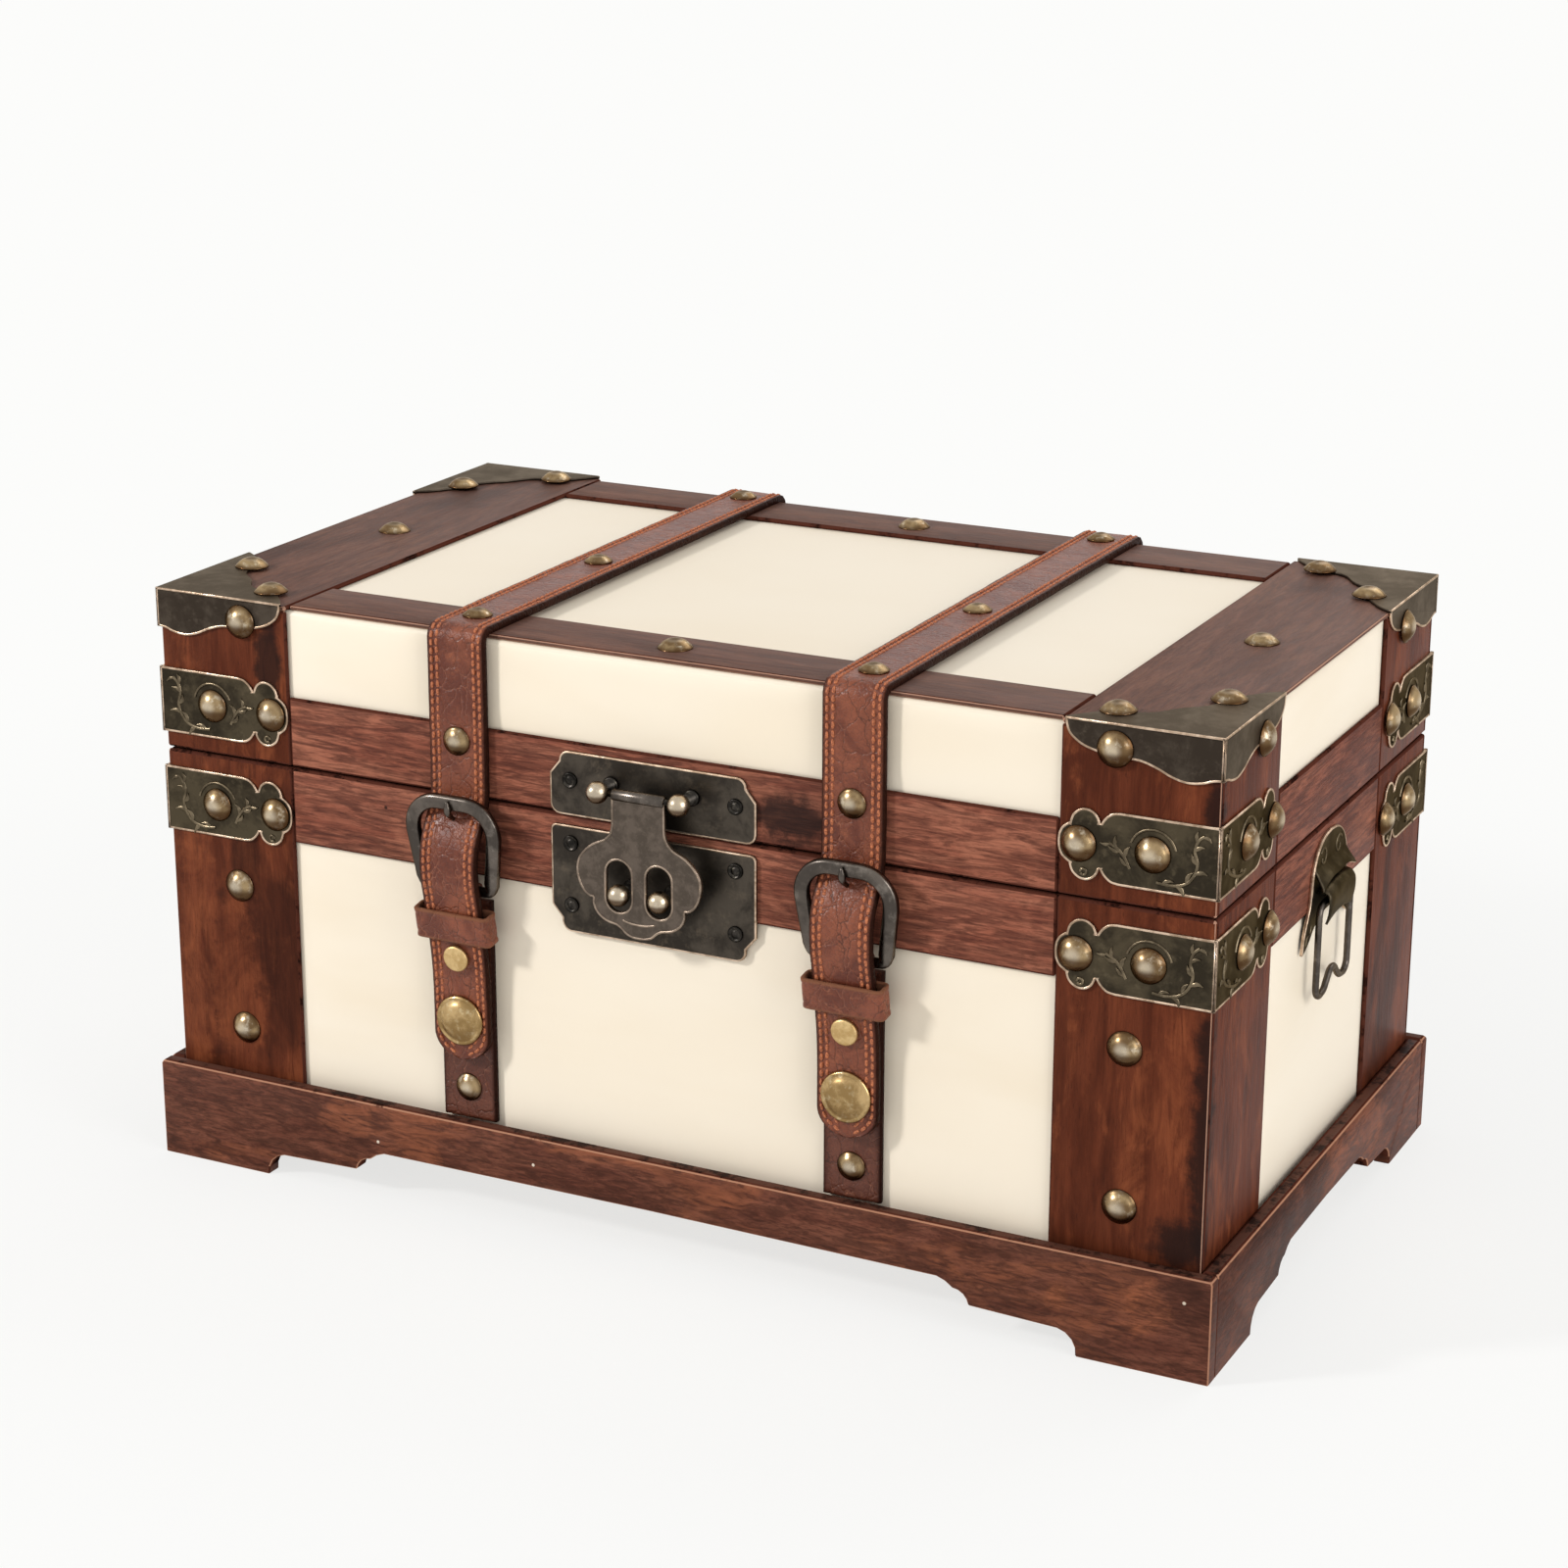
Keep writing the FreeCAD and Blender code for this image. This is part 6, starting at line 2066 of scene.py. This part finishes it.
@dataclass
class BuckledFlap:
    """Buckle frame, prong, chape, keeper, rivet and snap of one flap."""

    shop: Workshop
    side: str
    way: int
    bar_stand: float = 4.1
    bar_height: float = 121.5
    bar_radius: float = 1.6
    frame_height: float = 34.0
    top_width: float = 36.5
    foot_width: float = 31.5
    band: float = 5.2
    depth: float = 3.4
    lean: float = 6.5
    corner: float = 13.0
    keeper_width: float = 29.5
    keeper_height: float = 11.0
    keeper_deep: float = 7.4
    keeper_band: float = 1.5

    @property
    def centre(self) -> float:
        """X of the flap."""
        return self.way * STRAP_PLACE

    def build(self) -> None:
        """Make every piece of the flap."""
        self.frame()
        self.prong()
        chape = copy_of(f"buckle_chape_{self.side}", "leather")
        soften(chape, 0.25)
        self.shop.dress(chape, f"buckle_chape_{self.side}", "strap_leather", "leather", "leather")
        self.keeper()
        self.studs()

    def frame(self) -> None:
        """Horseshoe frame of flattened wire with a round foot bar."""
        half_top = (self.top_width - self.band) / 2
        half_foot = (self.foot_width - self.band) / 2
        top = self.frame_height - self.band / 2
        bend = self.corner - self.band / 2
        side = [(half_foot - 0.4, 0.6), (half_foot + 0.1, 2.2), (half_foot + 0.6, 6.0)]
        side += [(half_top - 0.2, top - bend - 3)]
        side += arc((half_top - bend, top - bend), bend, 0, 90, 10)
        foot = [(half_foot - 2.2, 0.0), (half_foot * 0.4, 0.0)]
        half = [(0.0, 0.0)] + list(reversed(foot)) + side + [(half_top * 0.15, top)]
        loop = rounded(half + [(-a, b) for a, b in reversed(half) if a > 0.01], 3, True)

        def size(index: int) -> Point:
            """Thin and round along the foot bar, flat and wide elsewhere."""
            share = min(max(loop[index][1] / 3.0, 0.0), 1.0)
            wide = self.bar_radius + (self.band / 2 - self.bar_radius) * share
            return wide, self.bar_radius + (self.depth / 2 - self.bar_radius) * share

        build = bmesh.new()
        place = Face.FRONT.at(self.centre, -HALF_DEPTH - self.bar_stand, self.bar_height)
        local = Matrix.Rotation(math.radians(self.lean), 4, "X")
        wire(build, loop, place @ local, size, 18, True, 0.62)
        piece = piece_from(f"buckle_frame_{self.side}_forged", build)
        self.shop.dress(piece, f"buckle_frame_{self.side}", "gunmetal", "gunmetal")

    def prong(self) -> None:
        """Prong that leaves the leather and lies as a drop over the top bar."""
        line = [
            (-113.5, 121.5), (-112.9, 130.0), (-112.6, 138.0), (-113.2, 144.6), (-115.6, 147.0),
            (-117.6, 148.4), (-118.5, 149.4), (-118.8, 150.6), (-118.95, 151.8), (-119.05, 153.0),
            (-119.15, 154.0),
        ]
        girth = (0.7, 0.7, 0.7, 0.7, 0.75, 0.9, 1.16, 1.28, 1.1, 0.62, 0.18)
        build = bmesh.new()
        place = Face.RIGHT.at(self.centre, 0.0, 0.0)
        wire(build, line, place, lambda index: (girth[index], girth[index]), 14, False)
        piece = piece_from(f"buckle_prong_{self.side}_drop", build)
        self.shop.dress(piece, f"buckle_prong_{self.side}", "gunmetal", "gunmetal")

    def keeper(self) -> None:
        """Leather loop with turned edges."""
        low, high = span(f"strap_keeper_{self.side}")
        middle = (low + high) / 2
        lean = math.radians(10.26)
        wide, deep, band = self.keeper_width / 2, self.keeper_deep / 2, self.keeper_band
        bend = 2.2
        loop: list[Point] = []
        for sign_a, sign_b, start in ((1, -1, -90), (1, 1, 0), (-1, 1, 90), (-1, -1, 180)):
            centre = (sign_a * (wide - bend), sign_b * (deep - bend))
            loop += arc(centre, bend, start, start + 90, 5)
        tall = self.keeper_height / 2
        profile = [
            (0.0, tall - 0.3), (-0.35, tall), (-band + 0.3, tall), (-band, tall - 0.4),
            (-band, -tall + 0.4), (-band + 0.3, -tall), (-0.35, -tall), (0.0, -tall + 0.3),
            (-0.05, -tall + 1.2), (-0.3, -tall + 1.9), (-0.15, -tall + 2.8), (-0.1, 0.0),
            (-0.15, tall - 2.8), (-0.3, tall - 1.9), (-0.05, tall - 1.2),
        ]
        turn = Matrix.Rotation(lean, 4, "X")
        place = Matrix.Translation(spot(*middle)) @ Matrix.Scale(MM, 4) @ turn
        rings = []
        marks = []
        for index, (a, b) in enumerate(loop):
            out = outward(loop, index, True)
            rings.append([
                place @ Vector((a + out.x * level, b + out.y * level, height)) for level, height in profile
            ])
            marks += [1.0 if abs(height) > tall - 0.5 else 0.0 for _, height in profile]
        build = bmesh.new()
        sweep(build, rings, True)
        bmesh.ops.recalc_face_normals(build, faces=build.faces)
        piece = piece_from(f"strap_keeper_{self.side}_leather", build)
        mark_points(piece, "edge", marks)
        self.shop.dress(piece, f"strap_keeper_{self.side}", "strap_leather", "keeper_leather")

    def studs(self) -> None:
        """Flat rivet and the snap's rimmed cap."""
        build = bmesh.new()
        tilt = Matrix.Rotation(math.radians(5.4), 4, "X")
        place = Face.FRONT.at(self.centre, -115.95, 97.0) @ tilt
        lathe(build, [
            (4.55, -0.8), (4.75, 0.2), (4.6, 0.75), (4.1, 1.05), (3.4, 1.0), (2.6, 1.1), (0.0, 1.2),
        ], place)
        lathe(build, [
            (8.9, 0.0), (9.0, 0.6), (8.75, 1.2), (8.2, 1.5), (7.7, 1.3), (7.3, 1.35), (6.2, 2.2),
            (4.4, 2.85), (2.2, 3.12), (0.0, 3.2),
        ], Face.FRONT.at(self.centre, -114.2, 74.0), 40, 1)
        piece = piece_from(f"flap_studs_{self.side}_pressed", build)
        self.shop.dress(piece, f"flap_studs_{self.side}", "antique_brass", "gold", "snap")


# --- Latch ---


@dataclass
class Latch:
    """Two plates, the pivot rod with ball ends, the hasp and its studs."""

    shop: Workshop
    face: float = -HALF_DEPTH
    plate_thick: float = 1.2
    rod_height: float = 165.8
    rod_stand: float = 9.6
    ball_stand: float = 10.48
    ball: float = 7.5
    hasp_stand: float = 10.6
    hasp_thick: float = 1.5
    neck: float = 19.3
    slot_width: float = 9.2
    slot_height: float = 17.8
    slot_spread: float = 14.8
    slot_middle: float = 134.6
    stud_spread: float = 15.0
    stud_height: float = 131.5

    def build(self) -> None:
        """Make every piece of the latch."""
        finishes = self.shop.palette.paint("latch", "bronze_edge")
        for node in ("latch_rod_plate", "latch_catch_plate"):
            rimmed_copy(node, finishes, 0.3, 0.12, 0.35)
        self.rivets()
        self.rod()
        self.hasp()
        self.studs()

    def rivets(self) -> None:
        """Ringed rivets that hold the plates."""
        palette = self.shop.palette
        dark = palette.get(palette.rivet)
        profile = [
            (2.75, -0.1), (2.75, 0.35), (2.45, 0.6), (2.1, 0.55), (1.9, 0.2), (1.5, 0.15),
            (1.2, 0.45), (0.6, 0.58), (0.0, 0.6),
        ]
        head = self.shop.pattern("ringed_rivet", profile, 24)
        for node, heights in (
            ("latch_rod_plate_rivets", (165.0,)), ("latch_catch_plate_rivets", (143.1, 121.4)),
        ):
            feet = []
            for height in heights:
                for way in (-1, 1):
                    place = Vector((way * 30.65, self.face - self.plate_thick, height))
                    feet.append((place, Vector((0, -1, 0))))
            rivets = points_object(f"{node}_ringed", feet)
            self.shop.heads.run(rivets, {"Head": head, "Tilt": 0.01, "Finish": dark})
            self.shop.dress(rivets, node, "dark_metal", "rivet")

    def post(self, build: Mesh, x: float, z: float) -> None:
        """A post with a bright ball end, whose stem takes a dark finish as painted shade.

        Args:
            build: Mesh that receives it.
            x: Its place along the front.
            z: Its height.
        """
        radius = self.ball / 2
        reach = self.ball_stand - self.plate_thick
        place = Face.FRONT.at(x, self.face - self.plate_thick, z)
        stem = [(2.8, 0.0), (2.8, 0.8), (2.4, 1.2), (2.1, 1.3), (2.1, reach - radius * 0.8)]
        ball = [
            (radius * math.cos(math.radians(turn)), reach + radius * math.sin(math.radians(turn)))
            for turn in (-62, -50, -35, -20, -5, 10, 25, 40, 55, 68, 80)
        ]
        # The stem takes the dark rivet finish, painted shade.
        lathe(build, stem, place, 28, 1)
        lathe(build, ball + [(0.0, reach + radius)], place, 28)

    def rod(self) -> None:
        """Pivot rod in two ball-ended posts."""
        build = bmesh.new()
        for way in (-1, 1):
            self.post(build, way * 15.0, self.rod_height)
        place = Face.RIGHT.at(-15.0, self.face - self.rod_stand, self.rod_height)
        lathe(build, [(1.1, 0.0), (1.1, 30.0)], place, 20, 1)
        piece = piece_from("latch_ball_rod_turned", build)
        self.shop.dress(piece, "latch_ball_rod", "antique_brass", "brass", "rivet")

    def outline(self, inset: float = 0.0) -> list[Point]:
        """Outline of the hasp: neck, wide lobe, lower lobe and lip.

        Args:
            inset: How far inside the sheet's edge the line runs.

        Returns:
            Points of the closed outline.
        """
        shoulder = rounded([
            (9.65, 156.0), (10.4, 152.9), (12.8, 150.2), (17.7, 147.7), (21.6, 143.8), (23.1, 140.0),
            (22.8, 135.8), (21.2, 132.0), (18.8, 129.9), (16.9, 129.8),
        ], 5)
        lower = rounded([(16.9, 129.8), (17.1, 127.2), (15.6, 124.2), (12.4, 122.0), (8.6, 121.2)], 5)
        lip = rounded([(8.6, 121.2), (6.6, 120.1), (4.6, 118.3), (2.2, 117.5), (0.0, 117.4)], 5)
        half = [(0.0, self.rod_height), (9.65, self.rod_height)] + shoulder + lower[1:] + lip[1:]
        middle = Vector((0.0, self.slot_middle))
        if inset:
            half = [tuple(middle + (Vector(point) - middle) * (1 - inset / 20)) for point in half]
        return mirrored(half)

    def slot(self, centre: float, grow: float = 0.0) -> list[Point]:
        """Round-ended opening for one stud.

        Args:
            centre: X of its middle.
            grow: How much wider it is than the real slot, on each side.

        Returns:
            Its outline, clockwise.
        """
        radius = self.slot_width / 2 + grow
        reach = self.slot_height / 2 - self.slot_width / 2
        high = arc((centre, self.slot_middle + reach), radius, 0, 180, 12)
        low = arc((centre, self.slot_middle - reach), radius, 180, 360, 12)
        return list(reversed(high + low))

    def hasp(self) -> None:
        """Hasp plate with rimmed slots, rolled round the rod."""
        front = self.face - self.hasp_stand
        place = Face.FRONT.at(0, front + self.hasp_thick, 0)
        half = self.slot_spread / 2
        loops = [self.outline(), self.slot(-half), self.slot(half)]
        build = plate(loops, self.hasp_thick, 0.35, place)
        barrel_place = Face.RIGHT.at(-self.neck / 2, self.face - self.rod_stand, self.rod_height)
        profile = [(1.2, 0.0), (1.7, 0.0), (2.0, 0.35), (2.0, self.neck - 0.35)]
        profile += [(1.7, self.neck), (1.2, self.neck)]
        lathe(build, profile, barrel_place, 28, 2)
        crease = rounded([(-6.0, 123.2), (-2.5, 122.4), (2.5, 122.4), (6.0, 123.2)], 5)
        rims = [(self.slot(way * half, 0.45), True) for way in (-1, 1)]
        rims += [(spaced(self.outline(0.35)[1:], 1.0), False), (crease, False)]
        for line, closed in rims:
            where = Face.FRONT.at(0, front + 0.03, 0)
            wire(build, line, where, lambda _: (0.42, 0.26), 8, closed, finish=1)
        piece = piece_from("latch_hasp_stamped", build, False)
        self.shop.dress(piece, "latch_hasp", "dark_metal", "hasp", "hasp_edge", "gunmetal")

    def studs(self) -> None:
        """Ball studs that stand through the slots."""
        build = bmesh.new()
        for way in (-1, 1):
            self.post(build, way * self.stud_spread / 2, self.stud_height)
        piece = piece_from("latch_studs_turned", build)
        self.shop.dress(piece, "latch_knobs", "antique_brass", "brass", "rivet")


# --- Rear hinges and end handles ---


@dataclass
class RearHinges:
    """Two butt hinges on the back."""

    shop: Workshop
    edge: float = 0.25

    def build(self) -> None:
        """Round and darken the leaves and pins."""
        palette = self.shop.palette
        finishes = palette.paint("latch", "bronze_edge")
        for node in ("hinge_base_leaves", "hinge_lid_leaves"):
            edged_copy(node, finishes, self.edge)
        edged_copy("hinge_pins", palette.paint("gunmetal", "gunmetal"), self.edge)


@dataclass
class EndHandle:
    """Stamped back plate with a folded hood, and the wire bail that hangs in it."""

    shop: Workshop
    side: str
    way: int
    face: float = HALF_LENGTH
    thick: float = 1.2
    axis_out: float = 3.45
    axis_height: float = 128.0
    wire: float = 1.5
    bail_width: float = 36.0
    bail_drop: float = 34.0
    bow: float = 6.0

    def place(self) -> Matrix:
        """Drawing plane on this end of the trunk."""
        side = Face.RIGHT if self.way > 0 else Face.LEFT
        return side.at(self.way * self.face, 0, 0)

    def build(self) -> None:
        """Make the plate with its hood, and the bail."""
        self.back_plate()
        self.bail()

    def back_plate(self) -> None:
        """Arched plate with pointed wings, curls and the rolled hood."""
        half = rounded([
            (0.0, 150.0), (7.5, 148.9), (13.2, 145.4), (16.8, 140.0), (18.0, 134.0), (18.6, 129.0),
            (20.6, 125.0), (23.8, 119.5), (25.0, 113.0),
        ], 5)
        half += rounded([(25.0, 113.0), (19.5, 115.6), (14.0, 119.5), (7.0, 122.0), (0.0, 122.5)], 5)[1:]
        build = plate([mirrored(half)], self.thick, 0.3, self.place())
        self.roll(build)
        self.hood(build)
        edge = [tuple(Vector((0, 131)) + (Vector(point) - Vector((0, 131))) * 0.98) for point in half[:24]]
        arch = list(reversed([(-a, b) for a, b in edge[1:]])) + edge
        self.ridge(build, spaced(arch, 1.2), 0.24, 1)
        for way in (-1, 1):
            # The curls and tails take the lighter relief bronze, a painted highlight.
            curl = [(way * a, b) for a, b in self.curl()]
            self.ridge(build, curl, 0.5, 2)
            tail = [(way * 22.6, 115.8), (way * 21.4, 118.4), (way * 18.6, 119.0), (way * 17.4, 121.4)]
            self.ridge(build, rounded(tail, 5), 0.4, 2)
        piece = piece_from(f"handle_plate_{self.side}_stamped", build, False)
        self.shop.dress(piece, f"handle_plate_{self.side}", "dark_metal", "bronze", "bronze_edge", "relief")

    def curl(self) -> list[Point]:
        """One stamped curl beside the arch's middle."""
        return rounded([
            (10.8, 144.2), (8.6, 145.4), (6.2, 144.6), (5.2, 142.2), (6.6, 140.2), (8.8, 140.4),
            (9.2, 142.2),
        ], 5)

    def ridge(self, build: Mesh, line: Sequence[Point], size: float, finish: int) -> None:
        """Raise a low ridge along a line on the plate.

        Args:
            build: Mesh that receives it.
            line: The line, in the plate's plane.
            size: Half width of the ridge.
            finish: Number of its finish.
        """
        place = self.place() @ Matrix.Translation((0, 0, self.thick))
        wire(build, line, place, lambda _: (size, size * 0.6), 8, False, finish=finish)

    def bent_sheet(
        self, build: Mesh, line: Sequence[Point], halves: Callable[[float], float],
        thick: float, lift: Callable[[float, float], float],
    ) -> None:
        """A sheet that follows a bent line outwards from the plate, with a rubbed free edge.

        Args:
            build: Mesh that receives it.
            line: (out, height) points from its root to its free edge.
            halves: Half width for the share of the way along the line.
            thick: Thickness of the sheet.
            lift: Height added, for the share across and the share along.
        """
        columns = 25
        rings = []
        for column in range(columns):
            across = 2 * column / (columns - 1) - 1
            outer, inner = [], []
            for index, (depth, height) in enumerate(line):
                share = index / (len(line) - 1)
                out = outward(line, index)
                high = height + lift(across, share)
                a = across * halves(share)
                outer.append(self.place() @ Vector((a, high, depth)))
                inner.append(self.place() @ Vector((a, high + out.y * thick, depth + out.x * thick)))
            rings.append(outer + list(reversed(inner)))
        made = sweep(build, rings)
        bmesh.ops.recalc_face_normals(build, faces=made)
        count = 2 * len(line)
        for index, side in enumerate(made):
            side.smooth = True
            side.material_index = 1 if index % count in (len(line) - 1, 2 * len(line) - 1) else 0

    def roll(self, build: Mesh) -> None:
        """Band of the plate that is folded out over the bail's bar.

        Args:
            build: Mesh that receives it.
        """
        high = self.axis_height
        line = rounded([
            (1.0, high + 5.6), (2.6, high + 5.9), (4.6, high + 5.2), (5.9, high + 3.4), (6.3, high + 1.0),
            (6.2, high - 2.0), (5.7, high - 5.0), (5.0, high - 7.4),
        ], 3)

        def lift(across: float, share: float) -> float:
            """Bow the band's ends down a little, and its lower edge up in the middle."""
            return -1.4 * abs(across) ** 2 * (1 - share) + 1.8 * share * (1 - abs(across) ** 2)

        self.bent_sheet(build, line, lambda share: 13.6 - 1.2 * share, 0.8, lift)

    def hood(self, build: Mesh) -> None:
        """Hood over the band, with flared ends and a waved lip.

        Args:
            build: Mesh that receives it.
        """
        line = rounded([(0.8, 140.8), (1.9, 139.2), (3.2, 137.8), (4.3, 136.8), (4.9, 136.0)], 3)

        def lift(across: float, share: float) -> float:
            """Drop the lip's ends in a wave."""
            return (-2.6 * abs(across) ** 2.2 + 0.6 * math.sin(math.pi * abs(across)) ** 2) * share

        self.bent_sheet(build, line, lambda share: 15.8 + 1.4 * share ** 1.5, 0.7, lift)

    def bail(self) -> None:
        """Wire bail with a bowed grip."""
        half = self.bail_width / 2 - self.wire
        low = self.wire - self.bail_drop
        bend = 4.0
        side = [(0.0, 0.0), (half - bend, 0.0)]
        side += arc((half - bend, -bend), bend, 90, 0, 6)
        side += arc((half - bend, low + bend), bend, 0, -90, 6)
        side += rounded([
            (half - bend, low), (8.2, low + 0.6), (5.2, low + self.bow / 2),
            (2.4, low + self.bow - 0.5), (0.0, low + self.bow),
        ], 4)[1:]
        loop = [(a, self.axis_height + b) for a, b in side]
        loop += [(-a, self.axis_height + b) for a, b in reversed(side) if a > 1e-6]
        build = bmesh.new()
        place = self.place() @ Matrix.Translation((0, 0, self.axis_out))
        wire(build, loop, place, lambda _: (self.wire * 0.76, self.wire * 0.76), 14)
        piece = piece_from(f"handle_bail_{self.side}_bent", build)
        self.shop.dress(piece, f"handle_bail_{self.side}", "gunmetal", "gunmetal")


# --- Studio ---


def aimed(way: Vector) -> Matrix:
    """Turn of a camera or lamp that looks one way."""
    return way.to_track_quat("-Z", "Y").to_matrix().to_4x4()


@dataclass
class Studio:
    """Floor, lamps, world and camera."""

    lens: float = 79.092
    place: Point3 = (0.51553, -1.04274, 0.51306)
    target: Point3 = (-0.00702, 0.0, 0.13542)
    roll: float = 0.002372
    world_light: float = 0.48
    floor_tone: float = 0.9
    shadow: float = 0.76
    paper: tuple[float, float, float, float] = (0.973, 0.973, 0.96, 1.0)

    def build(self) -> None:
        """Set the scene up."""
        bpy.context.scene.view_settings.view_transform = "Standard"
        self.camera()
        self.floor()
        self.world()
        self.lamp("key", (-1.45, -1.35, 1.2), 0.26, 27.5)
        self.lamp("fill", (1.7, -0.5, 0.8), 1.2, 15.8)
        self.lamp("rear", (0.3, 1.3, 1.4), 1.2, 7.0)

    def camera(self) -> None:
        """Camera at the photograph's angle."""
        data = bpy.data.cameras.new("camera")
        data.lens = self.lens
        data.sensor_width = 36.0
        data.sensor_fit = "HORIZONTAL"
        data.clip_start = 0.01
        eye = placed("camera", data)
        place = Vector(self.place)
        turn = aimed((Vector(self.target) - place).normalized()) @ Matrix.Rotation(self.roll, 4, "Z")
        eye.matrix_world = Matrix.Translation(place + Vector((0, DEPTH_SHIFT * MM, 0))) @ turn
        bpy.context.scene.camera = eye

    def floor(self) -> None:
        """Pale floor that keeps the trunk's shadow."""
        build = bmesh.new()
        bmesh.ops.create_grid(build, x_segments=2, y_segments=2, size=6.0)
        floor = piece_from("floor", build, False)
        shade = Shade("pale_floor")
        tone = self.floor_tone
        shade.shader.inputs["Base Color"].default_value = (tone, tone, tone * 0.992, 1.0)
        shade.shader.inputs["Roughness"].default_value = 0.9
        shade.shader.inputs["Specular IOR Level"].default_value = 0.1
        paper = shade.node("ShaderNodeEmission", {"Color": self.paper}).outputs[0]
        away = shade.vectors("LENGTH", shade.coordinates)["Value"]
        far = shade.scaled(shade.ramp(away, 0.2, 0.75), 1 - self.shadow, self.shadow)
        share = shade.maths("MULTIPLY", far, shade.seen_ray())
        mix = shade.node("ShaderNodeMixShader", {0: share, 1: shade.shader.outputs["BSDF"], 2: paper})
        shade.put(shade.output.inputs["Surface"], mix.outputs[0])
        floor.data.materials.append(shade.material)

    def world(self) -> None:
        """Even light with a near-white background."""
        world = bpy.data.worlds.new("studio")
        bpy.context.scene.world = world
        world.use_nodes = True
        sky = NodeSet(world.node_tree)
        light, back = [
            sky.node("ShaderNodeBackground", {"Color": tone, "Strength": strength}).outputs[0]
            for tone, strength in (((1.0, 1.0, 1.0, 1.0), self.world_light), (self.paper, 1.0))
        ]
        mix = sky.node("ShaderNodeMixShader", {0: sky.seen_ray(), 1: light, 2: back}).outputs[0]
        sky.node("ShaderNodeOutputWorld", {"Surface": mix})

    def lamp(self, name: str, place: Point3, size: float, power: float) -> None:
        """A square soft lamp aimed at the trunk.

        Args:
            name: Its name.
            place: Where it hangs, in metres.
            size: Its edge.
            power: Its power in watts.
        """
        data = bpy.data.lights.new(name, "AREA")
        data.shape = "SQUARE"
        data.size = size
        data.energy = power
        lamp = placed(name, data)
        turn = aimed(Vector((0.0, 0.0, 0.1)) - Vector(place))
        lamp.matrix_world = Matrix.Translation(Vector(place)) @ turn


def dress_remaining(shop: Workshop) -> None:
    """Give plain CAD nodes that still show their finish.

    Args:
        shop: The shared finishes.
    """
    palette = shop.palette
    finishes = {"snap_magnets": palette.get(palette.steel)}
    for name, node in frame["nodes"].items():
        if node.hide_render:
            continue
        material = finishes.get(name, palette.get(palette.latch))
        node.data.materials.clear()
        node.data.materials.append(material)
        LOG.info("%s keeps its CAD form", name)


def main() -> None:
    """Build the trunk and its studio."""
    logging.basicConfig(level=logging.INFO, format="%(name)s: %(message)s")
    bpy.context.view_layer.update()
    shop = Workshop()
    Studio().build()
    WoodAndCovering(shop).build()
    CornerFittings(shop).build()
    Straps(shop).build()
    for name, way in SIDES:
        BuckledFlap(shop, name, way).build()
    Latch(shop).build()
    RearHinges(shop).build()
    for name, way in SIDES:
        EndHandle(shop, name, way).build()
    dress_remaining(shop)
    shop.clear()


if __name__ == "__main__":
    main()
